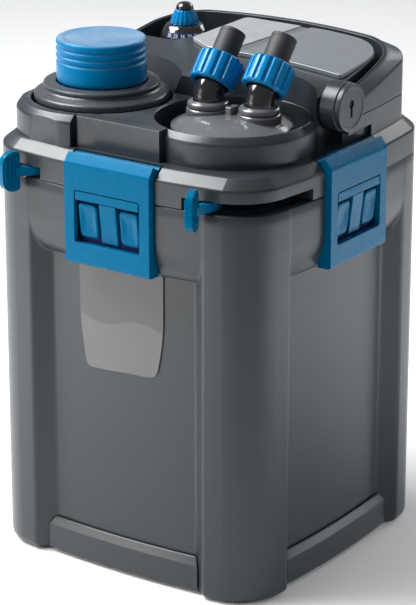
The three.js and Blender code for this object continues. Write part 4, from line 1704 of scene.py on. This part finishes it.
@dataclass
class LockingLever:
    """A lever under a well: a ring, an arm through the head's slot and a ribbed paddle."""

    name: str
    body: str
    node: str
    well: Well
    angle: float
    kink: float
    reach: float
    low: float = 285.2
    high: float = 291.2

    def at(self, radius: float, degrees: float) -> Flat:
        """A plan point at a radius and angle about the well."""
        a = math.radians(degrees)
        return (self.well.x + radius * math.cos(a), self.well.y + radius * math.sin(a))

    def arm(self, start: Flat, end: Flat, half: float) -> bpy.types.Object:
        """A straight bar between two plan points.

        Args:
            start: plan point of one end.
            end: plan point of the other end.
            half: half width of the bar.

        Returns:
            The closed mesh.
        """
        dx, dy = end[0] - start[0], end[1] - start[1]
        length = math.hypot(dx, dy)
        nx, ny = -dy / length * half, dx / length * half
        plan = [(start[0] + nx, start[1] + ny), (start[0] - nx, start[1] - ny),
                (end[0] - nx, end[1] - ny), (end[0] + nx, end[1] + ny)]
        return prism("arm", plan, self.low, self.high)

    def paddle(self) -> bpy.types.Object:
        """The upright paddle, in the plane through the well's axis, with ribs on both faces.

        Returns:
            The closed mesh.
        """
        reach = self.reach
        outline = filleted([
            (reach, 275.5, 2.0), (reach + 6.5, 274.2, 4.0), (reach + 14.4, 278.0, 7.0), (reach + 15.0, 289.0, 8.0),
            (reach + 14.4, 300.0, 7.0), (reach + 6.5, 303.8, 4.0), (reach, 302.5, 2.0),
        ], 6, closed=True)
        a = math.radians(self.angle)

        def place(r: float, t: float, z: float) -> Point:
            """A point at a radius, a sideways shift and a height."""
            return (self.well.x + r * math.cos(a) - t * math.sin(a), self.well.y + r * math.sin(a) + t * math.cos(a), z)

        plate = skin("paddle", [[place(r, t, z) for r, z in outline] for t in (-2.5, 2.5)])
        ribs = []
        for i in range(4):
            r = reach + 2.6 + i * 3.2
            inset = 2.2 + 0.5 * i
            rib = [(r - 0.8, 276 + inset), (r + 0.8, 276 + inset), (r + 0.8, 302 - inset), (r - 0.8, 302 - inset)]
            ribs.append(skin("rib", [[place(u, t, z) for u, z in rib] for t in (-3.3, 3.3)]))
        return combine(plate, Operation.JOIN, *ribs)

    def dress(self, palette: Palette) -> None:
        """Builds the lever and gives it its finish.

        Args:
            palette: the finishes.
        """
        loop = [(42, self.low), (47.2, self.low), (47.2, self.high), (42, self.high)]
        ring = lathe(self.name, loop, self.well.axis, 96, wrap=True)
        knee = self.at(self.reach - 14, self.angle + self.kink)
        parts = [
            self.arm(self.at(44.5, self.angle + self.kink), knee, 3.4),
            self.arm(knee, self.at(self.reach + 3, self.angle), 3.2),
            self.paddle(),
        ]
        lever = soften(combine(ring, Operation.JOIN, *parts), 0.45, 2, 40.0)
        dress(lever, palette.blue, self.body, [self.node])


# ---------------------------------------------------------------- hose adapter


@dataclass
class HoseAdapter:
    """The adapter in the right-hand well: a domed body and two swivel elbows with nuts and hoses."""

    bend: float = 344.0
    lean: float = 40.0
    tube: float = 10.6
    ribs: int = 14
    ports: dict[str, Flat] = field(default_factory=lambda: {"inlet": (28.5, -44.0), "outlet": (66.5, -37.2)})
    bodies: dict[str, str] = field(default_factory=lambda: {"inlet": "in", "outlet": "out"})

    def dome(self) -> bpy.types.Object:
        """The body, domed on top with a stepped rim.

        Returns:
            The closed mesh.
        """
        dome = turned("adapter_dome", [
            (0, 283, 0), (40.3, 283, 0.5), (40.3, 321, 0.6), (42.6, 322.0, 0.5), (42.6, 324.2, 0.7), (41.2, 325.0, 0.5),
            (36.5, 327.2, 3.0), (22, 331.6, 6.0), (0, 332, 0),
        ], ADAPTER_WELL.axis, 128)
        for x, y in self.ports.values():
            spigot = [(0, 264, 0), (10.3, 264, 0.8), (10.3, 290, 0), (0, 290, 0)]
            bore = [(0, 250), (7.5, 250), (7.5, 340), (0, 340)]
            dome = combine(dome, Operation.JOIN, turned("spigot", spigot, Axis(x, y), 40, 3))
            dome = combine(dome, Operation.CUT, lathe("bore", bore, Axis(x, y), 40))
        return soften(dome, 0.3, 2, 40.0)

    def elbow(self, name: str, x: float, y: float) -> bpy.types.Object:
        """A swivel elbow: a collar, a bent tube and the spigot inside the nut.

        Args:
            name: name of the new object.
            x: the port's place across the filter.
            y: the port's place along the filter.

        Returns:
            The closed mesh.
        """
        tilt = math.radians(self.lean)
        stations: list[tuple[float, float, float, float]] = [(0.0, 333.0, 0.0, self.tube)]
        start = 5.2
        for i in range(9):
            t = i / 8
            u, w = (1 - t) ** 2, t * t
            height = self.bend - start * u + start * w * math.cos(tilt)
            stations.append((start * w * math.sin(tilt), height, tilt * t, self.tube))
        for run, radius in ((11.4, self.tube), (12.4, 10.6), (13.6, 7.2), (14.4, 6.2), (28.0, 6.2)):
            stations.append((run * math.sin(tilt), self.bend + run * math.cos(tilt), tilt, radius))
        rings = []
        for sy, sz, lean, radius in stations:
            axis = Axis(x, y + sy, sz, math.degrees(lean))
            rings.append([axis.at(radius, 0, 2 * math.pi * k / 56) for k in range(56)])
        tube = skin(name, rings)
        bore = lathe("bore", [(0, -2), (4.6, -2), (4.6, 40), (0, 40)], Axis(x, y, self.bend, self.lean), 32)
        down = lathe("down", [(0, 325), (5, 325), (5, self.bend + 2), (0, self.bend + 2)], Axis(x, y), 32)
        return shade(combine(tube, Operation.CUT, bore, down), 34.0)

    def collar(self, name: str, x: float, y: float) -> bpy.types.Object:
        """The ring that turns with an elbow, stepped above its seat."""
        loop = [(10.7, 334.6, 0.2), (14.5, 334.6, 0.5), (14.5, 337.4, 1.2), (13.2, 338.6, 0.8), (10.7, 339.2, 0.2)]
        return shade(turned(name, loop, Axis(x, y), 96, 5, True), 34.0)

    def seat(self, name: str, x: float, y: float) -> bpy.types.Object:
        """The raised seat on the dome that an elbow's ring turns on."""
        loop = [(11.2, 328.0, 0.2), (15.3, 328.0, 0.2), (15.3, 333.2, 0.9), (14.2, 334.2, 0.5), (11.2, 334.2, 0.2)]
        return shade(turned(name, loop, Axis(x, y), 96, 4, True), 34.0)

    def tab(self) -> bpy.types.Object:
        """The small stop between the two elbows."""
        stop = block("swivel_stop", (44.6, 50.4), (-47.5, -37.5), (328.0, 337.2))
        return soften(stop, 1.2, 4)

    def nut(self, name: str, x: float, y: float) -> bpy.types.Object:
        """A union nut with broad ribs round it.

        Args:
            name: name of the new object.
            x: the port's place across the filter.
            y: the port's place along the filter.

        Returns:
            The closed mesh.
        """
        loop = filleted([
            (12.2, 6.0, 0.3), (15.2, 6.0, 0.8), (16.3, 7.4, 0.8), (16.3, 26.2, 1.2), (14.4, 27.4, 0.9),
            (9.9, 27.4, 0.7), (9.7, 16.5, 0.3), (12.2, 15.0, 0.3),
        ], 4, closed=True)

        def ribbed(radius: float, along: float, angle: float) -> float:
            """Lowers the radius between the ribs, away from both ends.

            Args:
                radius: distance from the axis.
                along: distance along the axis.
                angle: radians about the axis.

            Returns:
                The lowered radius.
            """
            if radius < 15.8:
                return radius
            wave = 0.5 + 0.5 * math.tanh(5.0 * (math.cos(self.ribs * angle) + 0.5))
            fade = min(1.0, (along - 7.0) / 1.5, (27.0 - along) / 1.5)
            return radius - 1.5 * (1 - wave) * max(0.0, fade)

        rows: list[Flat] = []
        for i, (r, s) in enumerate(loop):
            rows.append((r, s))
            after = loop[(i + 1) % len(loop)]
            if abs(after[1] - s) > 12 and r > 16:
                rows += [(r, s + (after[1] - s) * k) for k in (0.04, 0.1, 0.9, 0.96)]
        axis = Axis(x, y, self.bend, self.lean)
        return shade(lathe(name, rows, axis, self.ribs * 16, wrap=True, shape=ribbed), 50.0)

    def hose(self, name: str, x: float, y: float) -> bpy.types.Object:
        """The end of a hose, its lip rounded.

        Args:
            name: name of the new object.
            x: the port's place across the filter.
            y: the port's place along the filter.

        Returns:
            The closed mesh.
        """
        loop = [
            (6.6, 14.8, 0.2), (9.2, 14.8, 0.2), (9.2, 44.4, 0.2), (9.0, 44.8, 0.2), (9.2, 45.2, 0.2),
            (9.2, 48, 0.8), (6.6, 48, 0.6),
        ]
        return shade(turned(name, loop, Axis(x, y, self.bend, self.lean), 64, 3, True), 40.0)

    def dress(self, palette: Palette) -> None:
        """Builds the adapter's pieces and gives them their finish.

        Args:
            palette: the finishes.
        """
        dress(self.dome(), palette.dome, "adapter", ["adapter_body"])
        dress(self.tab(), palette.dome, "adapter")
        for word, (x, y) in self.ports.items():
            way = self.bodies[word]
            dress(self.seat(f"seat_{word}", x, y), palette.dome, "adapter")
            dress(self.collar(f"collar_{word}", x, y), palette.dome, f"elbow_{way}")
            dress(self.elbow(f"swivel_{word}", x, y), palette.gloss, f"elbow_{way}", [f"elbow_{word}"])
            dress(self.nut(f"nut_{word}", x, y), palette.nut_blue, f"nut_{way}", [f"union_nut_{word}"])
            dress(self.hose(f"hose_{word}", x, y), palette.rubber, f"elbow_{way}", [f"hose_tail_{word}"])


# ---------------------------------------------------------------- prefilter


@dataclass
class Prefilter:
    """What shows of the prefilter: the flange, the priming cap and its spring."""

    notches: int = 36
    wire: float = 0.8
    spring_radius: float = 26.5
    spring_rise: Flat = (340.1, 368.8)
    spring_turns: int = 5
    spring_pressed: float = 0.655

    def flange(self) -> bpy.types.Object:
        """The flange, with a notched rim below its edge.

        Returns:
            The closed mesh.
        """
        loop = [
            (37, 298, 0.5), (41, 298, 0.5), (41, 312.5, 0.4), (46, 312.5, 0.5), (46, 328.6, 0.4), (48, 329.6, 0.5),
            (48, 333.2, 0.7), (47.0, 334.2, 0.6), (41.4, 336.4, 0.6), (40.2, 337.6, 0.5), (41.2, 339.4, 0.3),
            (41.2, 340.6, 0.4), (40.4, 341.1, 0.4), (35.0, 341.6, 1.0), (32.5, 341.7, 0.3),
            (32.5, 329, 0.4), (28, 329, 0.4), (28, 339, 0.4), (25, 339, 0.4), (25, 326, 0.5), (37, 326, 0.4),
        ]

        def notched(radius: float, along: float, angle: float) -> float:
            """Cuts notches in the wall under the edge.

            Args:
                radius: distance from the axis.
                along: distance along the axis.
                angle: radians about the axis.

            Returns:
                The lowered radius.
            """
            if 45.5 < radius < 46.5 and along < 328:
                return radius - 1.1 * (0.5 + 0.5 * math.tanh(3 * math.cos(self.notches * angle)))
            return radius

        return shade(turned("flange", loop, PREFILTER_WELL.axis, self.notches * 8, loop=True, shape=notched), 34.0)

    def cap(self) -> bpy.types.Object:
        """The priming cap, with ring grooves in its upper half.

        Returns:
            The closed mesh.
        """
        corners: list[Corner] = [(0, 371.9, 0), (25.5, 371.9, 1.0), (27.5, 372.5, 1.0), (30.6, 372.5, 1.6)]
        corners += [(32, 370.8, 1.2)]
        for z in (367.0, 362.2, 357.4):
            corners += [(32, z + 1.7, 0.7), (30.8, z + 0.6, 0.5), (30.8, z - 0.6, 0.5), (32, z - 1.7, 0.7)]
        corners += [(32, 343.4, 0.6), (31.4, 341.8, 0.6), (29.3, 341.8, 0.3), (29.3, 369.8, 0), (0, 369.8, 0)]
        return shade(turned("primer_cap", corners, PREFILTER_WELL.axis, 144), 34.0)

    def spring(self) -> bpy.types.Object:
        """The wire spring that lifts the cap.

        Returns:
            The closed mesh.
        """
        axis = PREFILTER_WELL.axis
        low, high = self.spring_rise
        steps = self.spring_turns * 36
        rings: list[list[Point]] = []
        for step in range(steps + 1):
            angle = 2 * math.pi * self.spring_turns * step / steps
            share = min(1.0, max(0.0, (step / steps - 0.08) / 0.84))
            rings.append([
                axis.at(
                    self.spring_radius + self.wire * math.cos(turn),
                    low + (high - low) * share + self.wire * math.sin(turn), angle,
                )
                for turn in (math.pi / 4 * i for i in range(8))
            ])
        return shade(skin("primer_spring", rings), 50.0)

    def dress(self, palette: Palette) -> None:
        """Builds the pieces and gives them their finish.

        Args:
            palette: the finishes.
        """
        dress(self.flange(), palette.dark, "prefilter", ["prefilter_flange"])
        dress(self.cap(), palette.cap_blue, "primer", ["priming_cap"])
        spring = dress(self.spring(), palette.steel, "prefilter", ["priming_spring"])
        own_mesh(spring)


# ---------------------------------------------------------------- heater


@dataclass
class Heater:
    """The heater's head with its window, and the dial on top."""

    x: float = -72.0
    y: float = 70.0
    shelf: float = 343.3
    flutes: int = 18
    window_turn: float = -60.0
    curve: tuple[Flat, ...] = ((345.2, 18.4), (348.6, 18.1), (350.6, 17.4), (352.6, 16.4), (354.6, 15.0), (356.0, 13.8))

    @property
    def axis(self) -> Axis:
        """The heater's upright centre line."""
        return Axis(self.x, self.y)

    def head(self) -> bpy.types.Object:
        """The conical head above the shelf and the collar below it.

        Returns:
            The closed mesh.
        """
        return shade(turned("heater_cone", [
            (0, 335.4, 0), (15, 335.4, 0.5), (15, self.shelf, 0), (18.4, self.shelf, 0.5),
            *[(r, z, 0.5) for z, r in self.curve], (12.8, 356.6, 0.6), (0, 356.6, 0),
        ], self.axis, 96), 34.0)

    def on_cone(self, turn: float, up: float, lift: float) -> Point:
        """A point on the cone's face.

        Args:
            turn: degrees about the axis.
            up: height above the foot of the cone's curve.
            lift: distance out from the face.

        Returns:
            The point.
        """
        z = self.curve[0][0] + up
        radius = self.curve[-1][1]
        for (low, wide), (high, narrow) in zip(self.curve, self.curve[1:]):
            if z <= high:
                radius = wide + (narrow - wide) * (z - low) / (high - low)
                break
        return self.axis.at(radius + lift, z, math.radians(turn))

    def window(self) -> bpy.types.Object:
        """The window in the cone's face.

        Returns:
            The closed mesh.
        """
        turns = spaced(self.window_turn - 45, self.window_turn + 45, 3)
        rows = (0.2, 0.7, 2.0, 3.4, 5.4, 7.0, 7.4)
        outer, inner = ([[self.on_cone(t, up, lift) for t in turns] for up in rows] for lift in (0.35, -0.8))
        rings = [row + back[::-1] for row, back in zip(outer, inner)]
        return soften(skin("heater_window", rings), 0.15, 2)

    def figures(self) -> bpy.types.Object:
        """The figures behind the window.

        Returns:
            The figures and ticks as one mesh.
        """
        curve = bpy.data.curves.new("heater_figures", "FONT")
        curve.body = "20  23  26  29  32\n| | | | | | | | | |"
        curve.size = 3.3 * MM
        curve.space_line = 0.75
        curve.extrude = 0.12 * MM
        curve.align_x = "CENTER"
        text = linked("heater_figures_curve", curve)
        bpy.context.view_layer.update()
        graph = bpy.context.evaluated_depsgraph_get()
        mesh = bpy.data.meshes.new_from_object(text.evaluated_get(graph))
        bpy.data.objects.remove(text)
        piece = linked("heater_figures", mesh)
        for vertex in mesh.vertices:
            across, up, out = (c / MM for c in vertex.co)
            turn = self.window_turn + math.degrees(across / 17.2)
            vertex.co = Vector(self.on_cone(turn, 4.2 + up, 0.42 + out)) * MM
        return piece

    def dial(self) -> bpy.types.Object:
        """The fluted dial.

        Returns:
            The closed mesh.
        """
        profile = [
            (0, 356.9, 0), (10.6, 356.9, 0.4), (10.6, 358.6, 0.6), (9.6, 361.8, 0.8), (7.2, 366.6, 0.6),
            (6.6, 367.2, 0.3), (0, 367.2, 0),
        ]

        def fluted(radius: float, along: float, angle: float) -> float:
            """Cuts flutes in the dial's side.

            Args:
                radius: distance from the axis.
                along: distance along the axis.
                angle: radians about the axis.

            Returns:
                The lowered radius.
            """
            if radius < 6.7 or along < 357.2:
                return radius
            return radius * (1 - 0.045 * (0.5 + 0.5 * math.cos(self.flutes * angle)))

        return shade(turned("dial", profile, self.axis, self.flutes * 10, shape=fluted), 40.0)

    def tip(self) -> bpy.types.Object:
        """The rounded top of the dial."""
        profile = [(0, 367.4, 0), (6.7, 367.4, 0.2), (6.4, 369.4, 1.2), (4.4, 372.0, 2.2), (0, 373.0, 0)]
        return shade(turned("dial_tip", profile, self.axis, 64, 6), 40.0)

    def dress(self, palette: Palette) -> None:
        """Builds the pieces and gives them their finish.

        Args:
            palette: the finishes.
        """
        dress(self.head(), palette.gloss, "heater", ["heater_head"])
        dress(self.window(), palette.window, "heater")
        dress(self.figures(), palette.figures, "heater")
        dress(self.dial(), palette.nut_blue, "dial", ["heater_dial"])
        dress(self.tip(), palette.gloss, "dial", ["heater_tip"])


# ---------------------------------------------------------------- what stays as the frame has it


@dataclass
class InnerParts:
    """The nodes that keep the frame's own shape: feet, pins and what the housing holds."""

    frame: dict[str, object]

    def finishes(self, palette: Palette) -> dict[str, bpy.types.Material]:
        """Material of each node by the start of its name.

        Args:
            palette: the finishes.

        Returns:
            Materials by the start of a node's name.
        """
        return {
            "foot_": palette.rubber, "latch_pin": palette.steel, "media_basket": palette.dark,
            "filter_foam_middle": palette.fine_foam, "filter_foam": palette.coarse_foam,
            "head_base": palette.dark, "head_seal": palette.rubber, "prefilter_cage": palette.dark,
            "prefilter_foam": palette.fine_foam, "priming_piston": palette.dark,
            "heater_tube": palette.gloss, "pump_housing": palette.dark, "pump_coil": palette.copper,
            "impeller_cover": palette.dark, "pump_rotor": palette.dark, "rotor_shaft": palette.ceramic,
        }

    def dress(self, palette: Palette) -> None:
        """Gives every shown node its material.

        Args:
            palette: the finishes.
        """
        finishes = self.finishes(palette)
        for name, node in self.frame["nodes"].items():
            if node.hide_render:
                continue
            start = next(key for key in finishes if name.startswith(key))
            node.data.materials.clear()
            node.data.materials.append(finishes[start])
            LOG.info("%s keeps its own shape", name)


# ---------------------------------------------------------------- studio


@dataclass
class Studio:
    """Floor, lights and camera."""

    target: Point = (0.0, 0.0, 190.0)
    azimuth: float = 34.87
    elevation: float = 18.96
    distance: float = 1966.36
    focal_share: float = 2716.2 / 605
    shift: Flat = (-0.0043, -0.0379)
    sky: Colour = (0.92, 0.95, 1.0)
    sky_strength: float = 0.24

    def camera(self) -> bpy.types.Object:
        """Sets up the camera.

        Returns:
            The camera.
        """
        a, e = math.radians(self.azimuth), math.radians(self.elevation)
        look = Vector((-math.sin(a) * math.cos(e), math.cos(a) * math.cos(e), -math.sin(e)))
        data = bpy.data.cameras.new("camera")
        data.sensor_fit = "VERTICAL"
        data.sensor_height = 36.0
        data.lens = 36.0 * self.focal_share
        data.shift_x, data.shift_y = self.shift
        camera = linked("camera", data)
        camera.location = (Vector(self.target) - look * self.distance) * MM
        camera.rotation_euler = look.to_track_quat("-Z", "Y").to_euler()
        bpy.context.scene.camera = camera
        return camera

    def light(
        self, name: str, place: Point, size: Flat, power: float, colour: Colour = (1, 1, 1), down: bool = False,
    ) -> None:
        """Adds a rectangular soft light that faces the filter or the floor.

        Args:
            name: name of the light.
            place: where it hangs, in metres.
            size: width and height in metres.
            power: watts.
            colour: its colour.
            down: faces it to the floor.
        """
        data = bpy.data.lights.new(name, "AREA")
        data.shape = "RECTANGLE"
        data.size, data.size_y = size
        data.energy = power
        data.color = colour
        light = linked(name, data)
        light.location = place
        aim = Vector((0, 0, 0.2)) - Vector(place)
        if not down:
            light.rotation_euler = aim.to_track_quat("-Z", "Y").to_euler()

    def floor(self) -> bpy.types.Object:
        """A pale floor that curves up into a pale wall far behind.

        Returns:
            The floor.
        """
        steps = 24
        line = [(-9000.0, 0.0), (6000.0, 0.0)]
        for i in range(1, steps + 1):
            angle = math.pi / 2 * i / steps
            line.append((6000 + 2500 * math.sin(angle), 2500 * (1 - math.cos(angle))))
        line.append((8500.0, 9000.0))
        points = [(x, y, z) for y, z in line for x in (-12000.0, 12000.0)]
        faces = [[2 * i, 2 * i + 1, 2 * i + 3, 2 * i + 2] for i in range(len(line) - 1)]
        floor = mesh_object("floor", points, faces)
        floor.rotation_euler = (0, 0, math.radians(self.azimuth))
        material, kit, shader = started("pale_floor", Roughness=0.7)
        noise = kit.noise(3.0, 2.0, kit.place())
        kit.join(kit.mix(noise, (0.86, 0.87, 0.88), (0.9, 0.9, 0.9)), shader.inputs["Base Color"])
        floor.data.materials.append(material)
        floor.data.shade_smooth()
        return floor

    def build(self) -> None:
        """Sets up the whole studio."""
        self.camera()
        self.floor()
        self.light("overhead", (-1.0, -0.42, 1.65), (1.2, 1.0), 66.0)
        self.light("left_front", (-1.0, -1.5, 0.6), (0.8, 0.9), 4.0, (1.0, 0.95, 0.9))
        self.light("right_back", (1.15, 1.1, 0.62), (0.5, 0.8), 1.0)
        self.light("back", (0.3, 2.4, 1.5), (1.6, 0.8), 16.0)
        self.light("pool_left", (-0.46, -0.84, 0.36), (0.6, 0.8), 7.5, (1.0, 0.93, 0.87), down=True)
        self.light("pool_right", (0.6, 0.64, 0.26), (0.4, 0.45), 2.2, down=True)
        self.light("pool_edge", (0.76, 0.14, 0.26), (0.18, 0.22), 3.4, down=True)
        world = bpy.data.worlds.new("studio_world")
        world.use_nodes = True
        sky = world.node_tree.nodes["Background"].inputs
        sky["Color"].default_value = (*self.sky, 1.0)
        sky["Strength"].default_value = self.sky_strength
        bpy.context.scene.world = world
        bpy.context.scene.view_settings.view_transform = "Standard"


def main(frame: dict[str, object]) -> None:
    """Builds every sub-assembly in order.
    """
    logging.basicConfig(level=logging.INFO, format="%(name)s: %(message)s")
    palette = Palette()
    assemblies = [
        Canister(), Skirts(), Label(), Head(), PumpCover(), Handle(), Latch(),
        LockingLever("lever_adapter", "adapter_lock", "adapter_lever", ADAPTER_WELL, -72.3, 8.0, 86.0),
        LockingLever("lever_prefilter", "prefilter_lock", "prefilter_lever", PREFILTER_WELL, -105.6, 6.0, 74.0),
        HoseAdapter(), Prefilter(), Heater(), InnerParts(frame),
    ]
    for assembly in assemblies:
        LOG.info("building %s", type(assembly).__name__)
        assembly.dress(palette)
    Studio().build()
    bpy.context.view_layer.update()


if __name__ == "__main__":
    main(frame)
